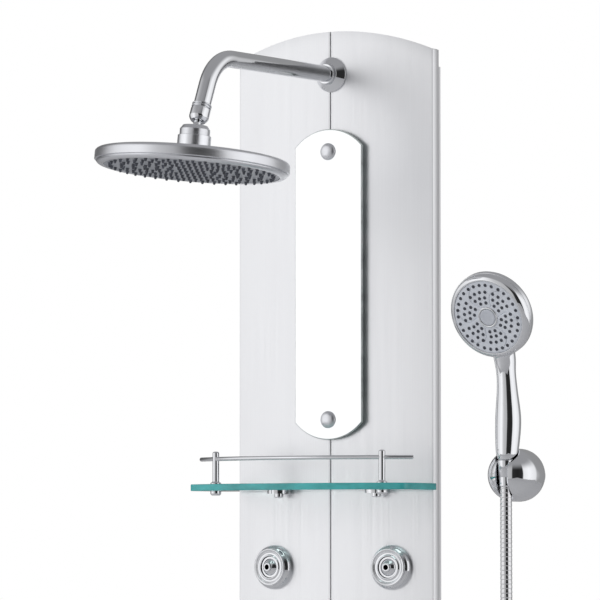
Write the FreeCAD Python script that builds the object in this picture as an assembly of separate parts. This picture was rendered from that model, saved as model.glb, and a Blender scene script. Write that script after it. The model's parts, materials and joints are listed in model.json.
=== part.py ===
import FreeCAD, Part
import math
import os

# Rainfall shower column: a bowed wall panel with an overhead rain head, a mirror, a glass shelf,
# body jets, a diverter, a mixer and a hand shower on its own wall bracket. Millimetres.
# Origin: centre of the four wall-screw holes, on the wall. +Z is up, the wall is the plane Y = 0,
# the user stands on the -Y side and +X is to the user's right.

V = FreeCAD.Vector
UP = V(0, 0, 1)
FRONT = V(0, -1, 0)
ACROSS = V(1, 0, 0)

# ---- driving dimensions ----
PANEL_WIDTH = 275.0
PANEL_HEIGHT = 1300.0
PANEL_DEPTH = 51.0
PANEL_BOW = 8.0
ARCH_RISE = 28.0
SKIN = 2.5
SIDE_RETURN = 13.3
GROOVE = 4.3

FRAME_HALF_WIDTH = 117.0
FRAME_HALF_HEIGHT = 606.0
FRAME_SHEET = 1.5
SPREADER_HEIGHT = 561.0

HANGER_LENGTH = 200.0
HANGER_SHEET = 3.0
SCREW_SPACING_X = 160.0
SCREW_SPACING_Z = 900.0
SCREW_HOLE_R = 3.0

ARM_HEIGHT = 598.0
ARM_R = 10.0
ARM_BORE_R = 8.0
ARM_REACH = 259.0
ARM_BEND_R = 55.0
ARM_LEAN = 23.6
ARM_DROP = 92.0
BALL_R = 11.0
BALL_GAP = 0.3
NECK_R = 4.5
CUP_R = 14.0

HEAD_LEAN = 4.6
HEAD_ROLL = 2.6
HEAD_R = 112.5
HEAD_TOP = 25.5
HEAD_RIM = 13.0
HEAD_BEVEL = 5.0
HEAD_FACE_R = 101.0

MIRROR_WIDTH = 95.0
MIRROR_TOP = 532.0
MIRROR_BOTTOM = 160.0
MIRROR_ARCH = 20.7
MIRROR_STAND_OFF = 4.0
MIRROR_GLASS = 4.0
MIRROR_CAP_R = 10.25

SHELF_BOTTOM = 99.0
SHELF_GLASS = 8.0
SHELF_HALF_WIDTH = 153.2
SHELF_BACK = 61.0
SHELF_CORNER = 138.0
SHELF_FRONT = 172.0
SHELF_ROUND = 13.0
POST_X = 117.0
POST_Y = 133.0
POST_TOP = 146.0
RAIL_HEIGHT = 137.0
RAIL_R = 2.5
RAIL_FRONT = 160.0
RAIL_BEND_R = 276.0
RAIL_HALF_WIDTH = 149.8
CLIP_X = 69.0
CLIP_Y = 69.0

JET_X = 83.0
JET_ROWS = {"upper": 8.0, "lower": -350.0}
JET_BALL_R = 12.0
JET_CENTRE = 3.0

DIVERTER_HEIGHT = -105.0
MIXER_HEIGHT = -230.0
INLET_X = 75.0
INLET_R = 9.3
INLET_DEPTH = 12.0
OUTLET_HEIGHT = -500.0
OUTLET_REACH = 87.0

HOLDER_X = 245.0
HOLDER_Y = 46.0
HOLDER_HEIGHT = 116.0
HOLDER_R = 31.0
HOLDER_SCREW_X = 11.3
HANDLE_Y = 65.0
NUT_BOTTOM = 102.0
NUT_TOP = 133.0
HOSE_R = 7.0
HANDSET_TILT = 22.4
HANDSET_FACE_Y = 106.0
HANDSET_FACE_HEIGHT = 298.0
HANDSET_FACE_R = 44.25

# ---- worked out from them ----
HALF_WIDTH = PANEL_WIDTH / 2
HALF_HEIGHT = PANEL_HEIGHT / 2
BOW_R = (HALF_WIDTH ** 2 + PANEL_BOW ** 2) / (2 * PANEL_BOW)
FACE_Y = -(PANEL_DEPTH + PANEL_BOW)
BOW_CENTRE_Y = FACE_Y + BOW_R
RISER_Y = -38.0
FEED_Y = -23.2


def sine(degrees):
    return math.sin(math.radians(degrees))


def cosine(degrees):
    return math.cos(math.radians(degrees))


# ---- helpers ----
def box(x, y, z):
    """A block between two values on each axis."""
    return Part.makeBox(x[1] - x[0], y[1] - y[0], z[1] - z[0], V(x[0], y[0], z[0]))


def rod(start, end, radius):
    """A round bar from one point to another."""
    along = end.sub(start)
    return Part.makeCylinder(radius, along.Length, start, along)


def turned(profile, centre=V(0, 0, 0), axis=UP):
    """A solid of revolution. The profile holds (radius, height) corners; a corner of four
    numbers is an arc through its first pair to its second. Heights run along the axis."""
    edges = []
    closing = [] if profile[-1][-2:] == profile[0] else profile[:1]
    last = V(profile[0][0], 0, profile[0][1])
    for corner in profile[1:] + closing:
        here = V(corner[-2], 0, corner[-1])
        if len(corner) == 4:
            edges.append(Part.Arc(last, V(corner[0], 0, corner[1]), here).toShape())
        else:
            edges.append(Part.makeLine(last, here))
        last = here
    face = Part.Face(Part.Wire(edges))
    solid = face.revolve(V(0, 0, 0), UP, 360)
    solid.Placement = FreeCAD.Placement(centre, FreeCAD.Rotation(UP, axis))
    return solid


def dome(radius, base, rise):
    """Profile corner for a spherical crown that closes on the axis."""
    sphere = (radius ** 2 + rise ** 2) / (2 * rise)
    half = math.asin(radius / sphere) / 2
    return (sphere * math.sin(half), base + rise - sphere * (1 - math.cos(half)), 0, base + rise)


def pipe(points, radius):
    """A pipe of straight stretches with round elbows, along a list of points."""
    solid = rod(points[0], points[1], radius)
    for near, far in zip(points[1:], points[2:]):
        solid = solid.fuse(Part.makeSphere(radius, near)).fuse(rod(near, far, radius))
    return solid.removeSplitter()


def slab(outline, start, thickness_along):
    """A closed outline of edges made into a plate."""
    face = Part.Face(Part.Wire(outline))
    face.translate(start)
    return face.extrude(thickness_along)


def save(node, shapes):
    """Writes one node; identical pieces of a node stay separate solids."""
    solids = shapes if isinstance(shapes, list) else [shapes]
    shape = solids[0] if len(solids) == 1 else Part.makeCompound(solids)
    shape.exportStep("parts/" + node + ".step")


def mirrored(shape):
    return shape.mirror(V(0, 0, 0), ACROSS)


# ---- bowed front panel ----
def bow_drum(depth):
    """The bow's cylinder, set back behind the panel's front face by a depth."""
    base = V(0, BOW_CENTRE_Y, -HALF_HEIGHT)
    return Part.makeCylinder(BOW_R - depth, PANEL_HEIGHT, base)


def panel_outline():
    """The panel seen from the front: straight sides, arched top and bottom."""
    side = HALF_HEIGHT - ARCH_RISE
    left_low = V(-HALF_WIDTH, 0, -side)
    left_high = V(-HALF_WIDTH, 0, side)
    right_high = V(HALF_WIDTH, 0, side)
    right_low = V(HALF_WIDTH, 0, -side)
    edges = [
        Part.makeLine(left_low, left_high),
        Part.Arc(left_high, V(0, 0, HALF_HEIGHT), right_high).toShape(),
        Part.makeLine(right_high, right_low),
        Part.Arc(right_low, V(0, 0, -HALF_HEIGHT), left_low).toShape(),
    ]
    return slab(edges, V(0, 0, 0), V(0, 2 * FACE_Y, 0))


def skin_layer(front, back, x):
    """A strip of the bowed sheet between two depths behind its front face."""
    strip = box(x, (2 * FACE_Y, 0), (-HALF_HEIGHT, HALF_HEIGHT))
    layer = bow_drum(front).cut(bow_drum(back)).common(strip)
    return layer.common(panel_outline())


def panel_holes():
    """Everything that passes through the front panel."""
    deep = 2 * PANEL_DEPTH
    holes = [rod(V(0, 0, ARM_HEIGHT), V(0, -deep, ARM_HEIGHT), ARM_R + 0.2)]
    holes.append(rod(V(0, 0, DIVERTER_HEIGHT), V(0, -deep, DIVERTER_HEIGHT), 12.2))
    holes.append(rod(V(0, 0, MIXER_HEIGHT), V(0, -deep, MIXER_HEIGHT), 18.2))
    holes.append(rod(V(0, 0, OUTLET_HEIGHT), V(0, -deep, OUTLET_HEIGHT), 10.2))
    for height in mirror_screw_heights():
        holes.append(rod(V(0, 0, height), V(0, -deep, height), 3.2))
    for x in (-CLIP_X, CLIP_X):
        holes.append(rod(V(x, 0, SHELF_BOTTOM - 2), V(x, -deep, SHELF_BOTTOM - 2), 2.2))
    for origin, out in jet_frames().values():
        holes.append(rod(origin - out * 20, origin + out * 20, 16.3))
    return Part.makeCompound(holes)


def build_panel():
    """Two bowed halves, each folded back along its outer edge, and the strip between them."""
    holes = panel_holes()
    sheet = skin_layer(0, SKIN, (GROOVE / 2, HALF_WIDTH)).cut(holes)
    edge = (HALF_WIDTH - SKIN, HALF_WIDTH)
    fold = box(edge, (-PANEL_DEPTH, SIDE_RETURN - PANEL_DEPTH), (-HALF_HEIGHT, HALF_HEIGHT))
    right = sheet.fuse(fold.common(panel_outline())).removeSplitter()
    save("panel_right", right)
    save("panel_left", mirrored(right))
    tongue = skin_layer(1.2, SKIN + 0.5, (-GROOVE / 2 + 0.1, GROOVE / 2 - 0.1))
    strip = tongue.fuse(skin_layer(SKIN, SKIN + 2, (-10, 10))).removeSplitter()
    save("centre_strip", strip.cut(holes))


# ---- rear frame and its hangers ----
def build_frame():
    tall = (-FRAME_HALF_HEIGHT, FRAME_HALF_HEIGHT)
    web_x = (FRAME_HALF_WIDTH - FRAME_SHEET, FRAME_HALF_WIDTH)
    web = box(web_x, (2 * FACE_Y, 0), tall).common(bow_drum(SKIN))
    lip = skin_layer(SKIN, SKIN + FRAME_SHEET, (FRAME_HALF_WIDTH - 11, FRAME_HALF_WIDTH))
    lip = lip.common(box((0, HALF_WIDTH), (2 * FACE_Y, 0), tall))
    rail = web.fuse(lip).removeSplitter()
    save("side_rail_right", rail)
    save("side_rail_left", mirrored(rail))
    inner = FRAME_HALF_WIDTH - FRAME_SHEET
    spreaders = []
    for height in (SPREADER_HEIGHT, -SPREADER_HEIGHT):
        plate = box((-inner, inner), (2 * FACE_Y, -16), (height, height + FRAME_SHEET))
        plate = plate.common(bow_drum(SKIN + 2))
        spreaders.append(plate.cut(rod(V(0, RISER_Y, height - 5), V(0, RISER_Y, height + 5), 8.5)))
    save("frame_spreaders", spreaders)


def yz_strip(corners, half_length, height):
    """A folded strip: its section in Y and Z, drawn out along X."""
    points = [V(-half_length, y, height + z) for y, z in corners]
    wire = Part.makePolygon(points + points[:1])
    return Part.Face(wire).extrude(V(2 * half_length, 0, 0))


def build_hangers():
    """Two screwed wall strips with an upturned lip, and the frame's bars that hook over them."""
    strip = [(0, -15), (0, 25), (-3, 25), (-3, 13), (-7, 13), (-7, 25), (-9.5, 25), (-9.5, 10)]
    strip += [(-3, 10), (-3, -15)]
    bar = [(-4, 27.5), (-4, 16), (-6.5, 16), (-6.5, 25), (-11, 25), (-11, 8), (-13.5, 8)]
    bar += [(-13.5, 27.5)]
    strips = []
    bars = []
    for height in (SCREW_SPACING_Z / 2, -SCREW_SPACING_Z / 2):
        plate = yz_strip(strip, HANGER_LENGTH / 2, height)
        for x in (-SCREW_SPACING_X / 2, SCREW_SPACING_X / 2):
            plate = plate.cut(rod(V(x, 1, height), V(x, -5, height), SCREW_HOLE_R))
        strips.append(plate)
        bars.append(yz_strip(bar, FRAME_HALF_WIDTH - FRAME_SHEET, height))
    save("wall_hangers", strips)
    save("hook_bars", bars)


# ---- overhead arm ----
def arm_down():
    """Unit vector down the arm's last straight, away from the wall."""
    return V(0, -sine(ARM_LEAN), -cosine(ARM_LEAN))


def arm_corner():
    return V(0, -(PANEL_DEPTH + ARM_REACH), ARM_HEIGHT)


def ball_centre():
    return arm_corner() + arm_down() * (ARM_DROP / cosine(ARM_LEAN))


def on_arm(distance):
    """A point of the arm's last straight, by its distance up from the ball."""
    return ball_centre() - arm_down() * distance


def arm_path(inner_end, outer_end):
    """Centre line of the arm: level out from the wall, one bend, then down."""
    corner = arm_corner()
    turn = 90 - ARM_LEAN
    setback = ARM_BEND_R * math.tan(math.radians(turn / 2))
    bend_start = corner - FRONT * setback
    bend_end = corner + arm_down() * setback
    to_middle = (arm_down() - FRONT).normalize()
    middle = corner + to_middle * (ARM_BEND_R / cosine(turn / 2) - ARM_BEND_R)
    start = V(0, inner_end, ARM_HEIGHT)
    edges = [
        Part.makeLine(start, bend_start),
        Part.Arc(bend_start, middle, bend_end).toShape(),
        Part.makeLine(bend_end, outer_end),
    ]
    return Part.Wire(edges), start


def swept(path, start, direction, radius):
    ring = Part.Wire(Part.makeCircle(radius, start, direction))
    return path.makePipeShell([ring], True, False)


def build_arm():
    path, start = arm_path(-48, on_arm(28))
    outside = swept(path, start, FRONT, ARM_R)
    inside = swept(path, start, FRONT, ARM_BORE_R)
    save("shower_arm", outside.cut(inside))
    at_panel = V(0, FACE_Y, ARM_HEIGHT)
    flange = [(ARM_R, 0), (21, 0), (21, 1.6), (13.2, 9), (12.6, 9.4), (12.6, 14.4)]
    flange += [(12, 15), (ARM_R, 15)]
    save("arm_flange", turned(flange, at_panel, FRONT))
    nut_back = V(0, FACE_Y + SKIN + 2.2, ARM_HEIGHT)
    nut = hexagon(34, 6, nut_back, FRONT * -1)
    save("arm_lock_nut", nut.cut(rod(nut_back + FRONT, nut_back - FRONT * 20, ARM_R)))
    rings = []
    for distance in (33.4, 36.4):
        ring = [(ARM_R, -0.9), (11, -0.9), (11.6, 0, 11, 0.9), (ARM_R, 0.9)]
        rings.append(turned(ring, on_arm(distance), arm_down() * -1))
    save("arm_rings", rings)
    nut = [(NECK_R + 0.7, 15.5), (8.6, 15.5), (11, 19), (11.5, 20), (11.5, 30.6), (10.9, 31.5)]
    nut += [(ARM_R, 31.5), (ARM_R, 28), (8, 28), (8, 18), (NECK_R + 0.7, 18)]
    save("coupling_nut", turned(nut, ball_centre(), arm_down() * -1))
    low = math.sqrt(BALL_R ** 2 - NECK_R ** 2)
    stud = [(2.5, -10.712), (BALL_R, 0, NECK_R, low), (NECK_R, 18), (7.95, 18), (7.95, 28), (2.5, 28)]
    save("ball_stud", turned(stud, ball_centre(), arm_down() * -1))


def hexagon(across_corners, thickness, centre, axis):
    radius = across_corners / 2
    points = [V(radius * cosine(60 * i), radius * sine(60 * i), 0) for i in range(7)]
    solid = Part.Face(Part.makePolygon(points)).extrude(V(0, 0, thickness))
    solid.Placement = FreeCAD.Placement(centre, FreeCAD.Rotation(UP, axis))
    return solid


# ---- rain head on its ball joint ----
def head_up():
    """The head's own upright: leaning to the wall and a little to the user's right."""
    return V(math.tan(math.radians(HEAD_ROLL)), math.tan(math.radians(HEAD_LEAN)), 1).normalize()


def cup_profile(inner, outer, opening, drain):
    """Half section of a cup round the ball: open at the top for the neck, drained below."""
    top_in = (inner * sine(opening), inner * cosine(opening))
    top_out = (outer * sine(opening), outer * cosine(opening))
    low_in = (drain, -math.sqrt(inner ** 2 - drain ** 2))
    low_out = (drain, -math.sqrt(outer ** 2 - drain ** 2))
    return [low_in, (inner, 0) + top_in, top_out, (outer, 0) + low_out]


def build_head():
    centre = ball_centre()
    up = head_up()
    inner = BALL_R + BALL_GAP
    save("head_cup", turned(cup_profile(inner, CUP_R, 56, 3.5), centre, up))
    hollow = CUP_R + BALL_GAP
    seam = -3.0
    at_seam = math.sqrt(hollow ** 2 - seam ** 2)
    top = 9.0
    at_top = math.sqrt(hollow ** 2 - top ** 2)
    collar = [(at_seam, seam), (hollow, 0, at_top, top), (14.2, top), (17.5, 4.4), (17.5, seam)]
    save("head_collar", turned(collar, centre, up))
    socket = [(at_seam, seam), (19.3, seam), (19.3, -HEAD_TOP), (4, -HEAD_TOP)]
    socket += [(4, -math.sqrt(hollow ** 2 - 16)), (hollow * sine(45), -hollow * cosine(45), at_seam, seam)]
    save("head_socket", turned(socket, centre, up))
    rim = -(HEAD_TOP + HEAD_RIM)
    low = rim - HEAD_BEVEL
    shell = [(4, -HEAD_TOP), (HEAD_R - 2, -HEAD_TOP), (HEAD_R, -HEAD_TOP - 2), (HEAD_R, rim)]
    shell += [(HEAD_R - 5.5, low), (HEAD_FACE_R + 0.1, low), (HEAD_FACE_R + 0.1, low + 3)]
    shell += [(HEAD_R - 2.5, rim + 2), (HEAD_R - 2.5, -HEAD_TOP - 3), (4, -HEAD_TOP - 3)]
    save("head_shell", turned(shell, centre, up))
    face = [(0, low + 0.8), (HEAD_FACE_R, low + 0.8), (HEAD_FACE_R, low + 3), (0, low + 3)]
    save("head_face", turned(face, centre, up))


# ---- mirror ----
def mirror_screw_heights():
    return (MIRROR_BOTTOM + 24, MIRROR_TOP - 27)


def build_mirror():
    half = MIRROR_WIDTH / 2
    high = MIRROR_TOP - MIRROR_ARCH
    low = MIRROR_BOTTOM + MIRROR_ARCH
    edges = [
        Part.makeLine(V(-half, 0, low), V(-half, 0, high)),
        Part.Arc(V(-half, 0, high), V(0, 0, MIRROR_TOP), V(half, 0, high)).toShape(),
        Part.makeLine(V(half, 0, high), V(half, 0, low)),
        Part.Arc(V(half, 0, low), V(0, 0, MIRROR_BOTTOM), V(-half, 0, low)).toShape(),
    ]
    back = FACE_Y - MIRROR_STAND_OFF
    glass = slab(edges, V(0, back, 0), FRONT * MIRROR_GLASS)
    studs = []
    caps = []
    for height in mirror_screw_heights():
        glass = glass.cut(rod(V(0, 0, height), V(0, -100, height), 4.2))
        stud = [(0, -8), (3, -8), (3, 0), (7, 0), (7, MIRROR_STAND_OFF), (4, MIRROR_STAND_OFF)]
        stud += [(4, MIRROR_STAND_OFF + MIRROR_GLASS), (0, MIRROR_STAND_OFF + MIRROR_GLASS)]
        studs.append(turned(stud, V(0, FACE_Y, height), FRONT))
        cap = [(0, 0), (MIRROR_CAP_R, 0), (MIRROR_CAP_R, 1), dome(MIRROR_CAP_R, 1, 3.8)]
        caps.append(turned(cap, V(0, back - MIRROR_GLASS, height), FRONT))
    save("mirror_glass", glass)
    save("mirror_studs", studs)
    save("mirror_caps", caps)


# ---- glass shelf with its guard rail ----
def shelf_plate():
    wide = SHELF_HALF_WIDTH
    front_left = V(-wide, -SHELF_CORNER, 0)
    front_right = V(wide, -SHELF_CORNER, 0)
    edges = [
        Part.makeLine(V(-wide, -SHELF_BACK, 0), front_left),
        Part.Arc(front_left, V(0, -SHELF_FRONT, 0), front_right).toShape(),
        Part.makeLine(front_right, V(wide, -SHELF_BACK, 0)),
        Part.makeLine(V(wide, -SHELF_BACK, 0), V(-wide, -SHELF_BACK, 0)),
    ]
    plate = slab(edges, V(0, 0, SHELF_BOTTOM), UP * SHELF_GLASS)
    corners = [e for e in plate.Edges if abs(e.tangentAt(e.FirstParameter).z) > 0.99]
    return plate.makeFillet(SHELF_ROUND, corners)


def rail_end():
    set_back = RAIL_BEND_R - math.sqrt(RAIL_BEND_R ** 2 - RAIL_HALF_WIDTH ** 2)
    return V(RAIL_HALF_WIDTH, set_back - RAIL_FRONT, RAIL_HEIGHT)


def build_shelf():
    glass = shelf_plate()
    right = rail_end()
    left = V(-right.x, right.y, right.z)
    bend = Part.Wire(Part.Arc(left, V(0, -RAIL_FRONT, RAIL_HEIGHT), right).toShape())
    start_way = bend.Edges[0].tangentAt(bend.Edges[0].FirstParameter)
    rail = swept(bend, left, start_way, RAIL_R)
    posts = []
    nuts = []
    for x in (-POST_X, POST_X):
        glass = glass.cut(rod(V(x, -POST_Y, 0), V(x, -POST_Y, 200), 3.3))
        foot = SHELF_BOTTOM + SHELF_GLASS
        post = [(0, SHELF_BOTTOM - 4), (2.9, SHELF_BOTTOM - 4), (2.9, foot), (6.5, foot), (6.5, foot + 1.5)]
        post += [(4, foot + 2.5), (4, POST_TOP - 1.6), dome(4, POST_TOP - 1.6, 1.6)]
        posts.append(turned(post, V(x, -POST_Y, 0)).cut(rail))
        nut = [(2.9, 0), (6.5, 0), (6.5, -3.5), (5, -5.5), (0, -5.5), (0, -4), (2.9, -4)]
        nuts.append(turned(nut, V(x, -POST_Y, SHELF_BOTTOM)))
    clips = []
    screws = []
    for x in (-CLIP_X, CLIP_X):
        top = V(x, -CLIP_Y, SHELF_BOTTOM)
        pad = Part.makeCylinder(14, 3, top - UP * 3).cut(bow_drum(0))
        stem = rod(V(x, -45, SHELF_BOTTOM - 2), V(x, -60, SHELF_BOTTOM - 2), 2)
        clip = pad.fuse(stem.common(box((x - 5, x + 5), (-60, -45), (0, SHELF_BOTTOM))))
        hole = rod(top - UP * 4, top + UP * 5, 2.2)
        clips.append(clip.cut(hole))
        glass = glass.cut(hole)
        screws.append(turned([(0, -8), (5.5, -8), (5.5, -3), (2.2, -3), (2.2, 4.6), (0, 4.6)], top))
    save("shelf_glass", glass)
    save("guard_rail", rail)
    save("rail_posts", posts)
    save("post_nuts", nuts)
    save("shelf_clips", clips)
    save("shelf_screws", screws)


# ---- body jets ----
def jet_frames():
    """Each jet's place on the panel's front face and its outward direction."""
    turn = math.degrees(math.asin(JET_X / BOW_R))
    face_y = BOW_CENTRE_Y - BOW_R * cosine(turn)
    frames = {}
    for row, height in JET_ROWS.items():
        for side, sign in (("left", -1), ("right", 1)):
            out = V(sign * sine(turn), -cosine(turn), 0)
            frames[row + "_" + side] = (V(sign * JET_X, face_y, height), out)
    return frames


def build_jets():
    liner_r = JET_BALL_R + BALL_GAP
    liner_out = 14.2
    cavity = liner_out + BALL_GAP
    mouth = 13.0
    mouth_low = JET_CENTRE + math.sqrt(cavity ** 2 - mouth ** 2)
    tail_top = JET_CENTRE - math.sqrt(cavity ** 2 - 36)
    ring = [(16.3, -0.9), (27, -0.9), (27, 1.2), (25.8, 6.6, 22.6, 9.6), (16.3, 9.6)]
    bezel = [(mouth, mouth_low), (mouth, 11.6), (15.6, 10.9), (17, 10.9), (21.2, 12.2), (22.5, 11.6)]
    bezel += [(22.5, 9.6), (16.1, 9.6), (16.1, -13.5), (9, -13.5), (9, -26), (6, -26), (6, tail_top)]
    bezel += [(cavity, JET_CENTRE, mouth, mouth_low)]
    nut = [(16.1, -3.2), (21, -3.2), (21, -8.2), (16.1, -8.2)]
    rim = 7.0
    liner = [(6, -math.sqrt(liner_r ** 2 - 36)), (liner_r, 0, math.sqrt(liner_r ** 2 - rim ** 2), rim)]
    liner += [(math.sqrt(liner_out ** 2 - rim ** 2), rim)]
    liner += [(liner_out, 0, 6, -math.sqrt(liner_out ** 2 - 36))]
    spout_low = math.sqrt(JET_BALL_R ** 2 - 5.5 ** 2)
    throat_low = -math.sqrt(JET_BALL_R ** 2 - 2.6 ** 2)
    nozzle = [(2.6, throat_low), (JET_BALL_R, 0, 5.5, spout_low), (5.5, 12.6), (4.6, 13.4), (2.6, 13.4)]
    rings = []
    bezels = []
    nuts = []
    for name, (origin, out) in jet_frames().items():
        rings.append(turned(ring, origin, out).cut(bow_drum(0)))
        bezels.append(turned(bezel, origin, out))
        nuts.append(turned(nut, origin, out))
        centre = origin + out * JET_CENTRE
        save("jet_socket_" + name, turned(liner, centre, out))
        save("jet_nozzle_" + name, turned(nozzle, centre, out))
    save("jet_rings", rings)
    save("jet_bezels", bezels)
    save("jet_lock_nuts", nuts)


# ---- water ways behind the panel ----
def jet_tail(name, distance):
    origin, out = jet_frames()[name]
    return origin - out * distance


def build_pipes():
    block = box((-13, 13), (-48, -28), (ARM_HEIGHT - 15, ARM_HEIGHT + 13))
    riser = rod(V(0, RISER_Y, DIVERTER_HEIGHT + 20), V(0, RISER_Y, ARM_HEIGHT - 14), 7)
    save("riser_pipe", block.fuse(riser))
    feed = pipe(
        [
            V(20, FEED_Y, DIVERTER_HEIGHT),
            V(45, FEED_Y, DIVERTER_HEIGHT),
            V(45, FEED_Y, JET_ROWS["upper"]),
        ],
        6,
    )
    feed = feed.fuse(rod(V(45, FEED_Y, DIVERTER_HEIGHT), V(45, FEED_Y, JET_ROWS["lower"]), 6))
    for row in JET_ROWS:
        left = jet_tail(row + "_left", 33)
        right = jet_tail(row + "_right", 33)
        feed = feed.fuse(rod(left, right, 6))
        for name in (row + "_left", row + "_right"):
            out = jet_frames()[name][1]
            feed = feed.fuse(rod(jet_tail(name, 41), jet_tail(name, 26), 10))
    save("jet_feed_pipe", feed.removeSplitter())
    low = JET_ROWS["lower"] + 50
    route = [
        V(-20, FEED_Y, DIVERTER_HEIGHT),
        V(-45, FEED_Y, DIVERTER_HEIGHT),
        V(-45, FEED_Y, low),
        V(-45, RISER_Y, low),
        V(-45, RISER_Y, OUTLET_HEIGHT),
        V(-12, RISER_Y, OUTLET_HEIGHT),
    ]
    save("handset_feed_pipe", pipe(route, 6))


def build_diverter():
    centre = V(0, FACE_Y, DIVERTER_HEIGHT)
    body = box((-20, 20), (-50, -14), (DIVERTER_HEIGHT - 20, DIVERTER_HEIGHT + 20))
    neck = rod(V(0, -50, DIVERTER_HEIGHT), V(0, FACE_Y - 3, DIVERTER_HEIGHT), 12)
    spindle = rod(V(0, -50, DIVERTER_HEIGHT), V(0, FACE_Y - 20, DIVERTER_HEIGHT), 4)
    link = rod(V(0, RISER_Y, MIXER_HEIGHT + 26), V(0, RISER_Y, DIVERTER_HEIGHT - 20), 7)
    save("diverter_valve", body.fuse(neck).fuse(spindle).fuse(link).removeSplitter())
    save("diverter_flange", turned([(12.1, 0), (27, 0), (27, 1.5), (24.5, 4), (12.1, 4)], centre, FRONT))
    knob = [(0, 28), (19, 28), (21, 27.2, 22, 25), (22, 6), (21, 4.6), (4.05, 4.6), (4.05, 20.3), (0, 20.3)]
    grip = box((-3, 3), (FACE_Y - 33, FACE_Y - 26), (DIVERTER_HEIGHT - 18, DIVERTER_HEIGHT + 18))
    save("diverter_knob", turned(knob, centre, FRONT).fuse(grip).removeSplitter())


def build_mixer():
    centre = V(0, FACE_Y, MIXER_HEIGHT)
    body = box((-30, 30), (-50, -14), (MIXER_HEIGHT - 26, MIXER_HEIGHT + 26))
    neck = rod(V(0, -50, MIXER_HEIGHT), V(0, FACE_Y - 4.2, MIXER_HEIGHT), 18)
    arms = rod(V(-INLET_X, RISER_Y, MIXER_HEIGHT), V(INLET_X, RISER_Y, MIXER_HEIGHT), 7.5)
    valve = body.fuse(neck).fuse(arms)
    nuts = []
    for x in (-INLET_X, INLET_X):
        valve = valve.fuse(rod(V(x, -49, MIXER_HEIGHT), V(x, -29, MIXER_HEIGHT), 11))
        nut = hexagon(30, INLET_DEPTH + 3, V(x, -29, MIXER_HEIGHT), FRONT * -1)
        mouth = V(x, -26, MIXER_HEIGHT)
        nuts.append(nut.cut(rod(mouth, mouth + V(0, INLET_DEPTH + 1, 0), INLET_R)))
    save("mixer_valve", valve.removeSplitter())
    save("inlet_nuts", nuts)
    flange = [(18.1, 0), (36, 0), (36, 1.5), (33, 4), (18.1, 4)]
    save("mixer_flange", turned(flange, centre, FRONT))
    pivot = V(0, FACE_Y - 23, MIXER_HEIGHT)
    dome = [(0, 4.6), (23, 4.6), (24, 5.6), (24, 32), (22.5, 36.2, 17, 38), (0, 38)]
    pocket = box((-8.3, 8.3), (FACE_Y - 40, pivot.y + 7), (MIXER_HEIGHT - 7, MIXER_HEIGHT + 13))
    crosswise = rod(pivot - ACROSS * 30, pivot + ACROSS * 30, 6.05)
    save("mixer_dome", turned(dome, centre, FRONT).cut(pocket).cut(crosswise))
    barrel = rod(pivot - ACROSS * 22.5, pivot + ACROSS * 22.5, 6)
    reach = V(0, pivot.y - 62, MIXER_HEIGHT)
    blade = box((-7.8, 7.8), (reach.y, pivot.y), (MIXER_HEIGHT - 4, MIXER_HEIGHT + 4))
    tip = rod(reach - UP * 4, reach + UP * 4, 7.8)
    save("mixer_lever", barrel.fuse(blade).fuse(tip).removeSplitter())


# ---- hand shower: outlet, hose, wall bracket and handset ----
def build_outlet():
    centre = V(0, FACE_Y, OUTLET_HEIGHT)
    spout_y = -OUTLET_REACH
    body = box((-12, 12), (-50, -26), (OUTLET_HEIGHT - 12, OUTLET_HEIGHT + 12))
    elbow = rod(V(0, -50, OUTLET_HEIGHT), V(0, spout_y, OUTLET_HEIGHT), 10)
    elbow = elbow.fuse(Part.makeSphere(10, V(0, spout_y, OUTLET_HEIGHT)))
    elbow = elbow.fuse(rod(V(0, spout_y, OUTLET_HEIGHT), V(0, spout_y, OUTLET_HEIGHT - 12), 10))
    elbow = elbow.fuse(rod(V(0, spout_y, OUTLET_HEIGHT - 12), V(0, spout_y, OUTLET_HEIGHT - 20), 8))
    plate = turned([(9, 0), (22, 0), (22, 1.4), (18.5, 3.6, 12.5, 5), (9, 5)], centre, FRONT)
    save("outlet_elbow", elbow.fuse(body).fuse(plate).removeSplitter())
    nut = [(8, -8), (8, -20), (0, -20), (0, -22), (HOSE_R, -22), (8.4, -21.2), (10.6, -17)]
    nut += [(10.6, -9), (10, -8)]
    save("outlet_hose_nut", turned(nut, V(0, spout_y, OUTLET_HEIGHT - 4)))


# Route of the hose's centre line: down from the outlet, a low loop, and up to the handset.
HOSE_ROUTE = [
    (0, -87, -526),
    (0, -87, -584),
    (3, -92, -674),
    (14, -96, -772),
    (44, -97, -852),
    (98, -94, -904),
    (168, -89, -900),
    (218, -85, -842),
    (240, -79, -750),
    (248, -74, -622),
    (250, -71, -474),
    (249, -68, -306),
    (246, -66, -130),
    (245, -65, 14),
    (245, -65, 102),
]


def hose_path():
    """Straight runs joined by tangent arcs, each arc as large as its two runs allow."""
    points = [V(*point) for point in HOSE_ROUTE]
    edges = []
    last = points[0]
    length = 0.0
    radii = []
    for before, here, after in zip(points, points[1:], points[2:]):
        back = before - here
        on = after - here
        turn = math.pi - back.getAngle(on)
        setback = 0.45 * min(back.Length, on.Length)
        radius = setback / math.tan(turn / 2)
        arc_start = here + back.normalize() * setback
        arc_end = here + on.normalize() * setback
        inward = (back + on).normalize()
        middle = here + inward * (radius / math.cos(turn / 2) - radius)
        edges.append(Part.LineSegment(last, arc_start).toShape())
        edges.append(Part.Arc(arc_start, middle, arc_end).toShape())
        length += (arc_start - last).Length + radius * turn
        radii.append(radius)
        last = arc_end
    edges.append(Part.LineSegment(last, points[-1]).toShape())
    length += (points[-1] - last).Length
    return Part.Wire(edges), length, radii


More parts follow.
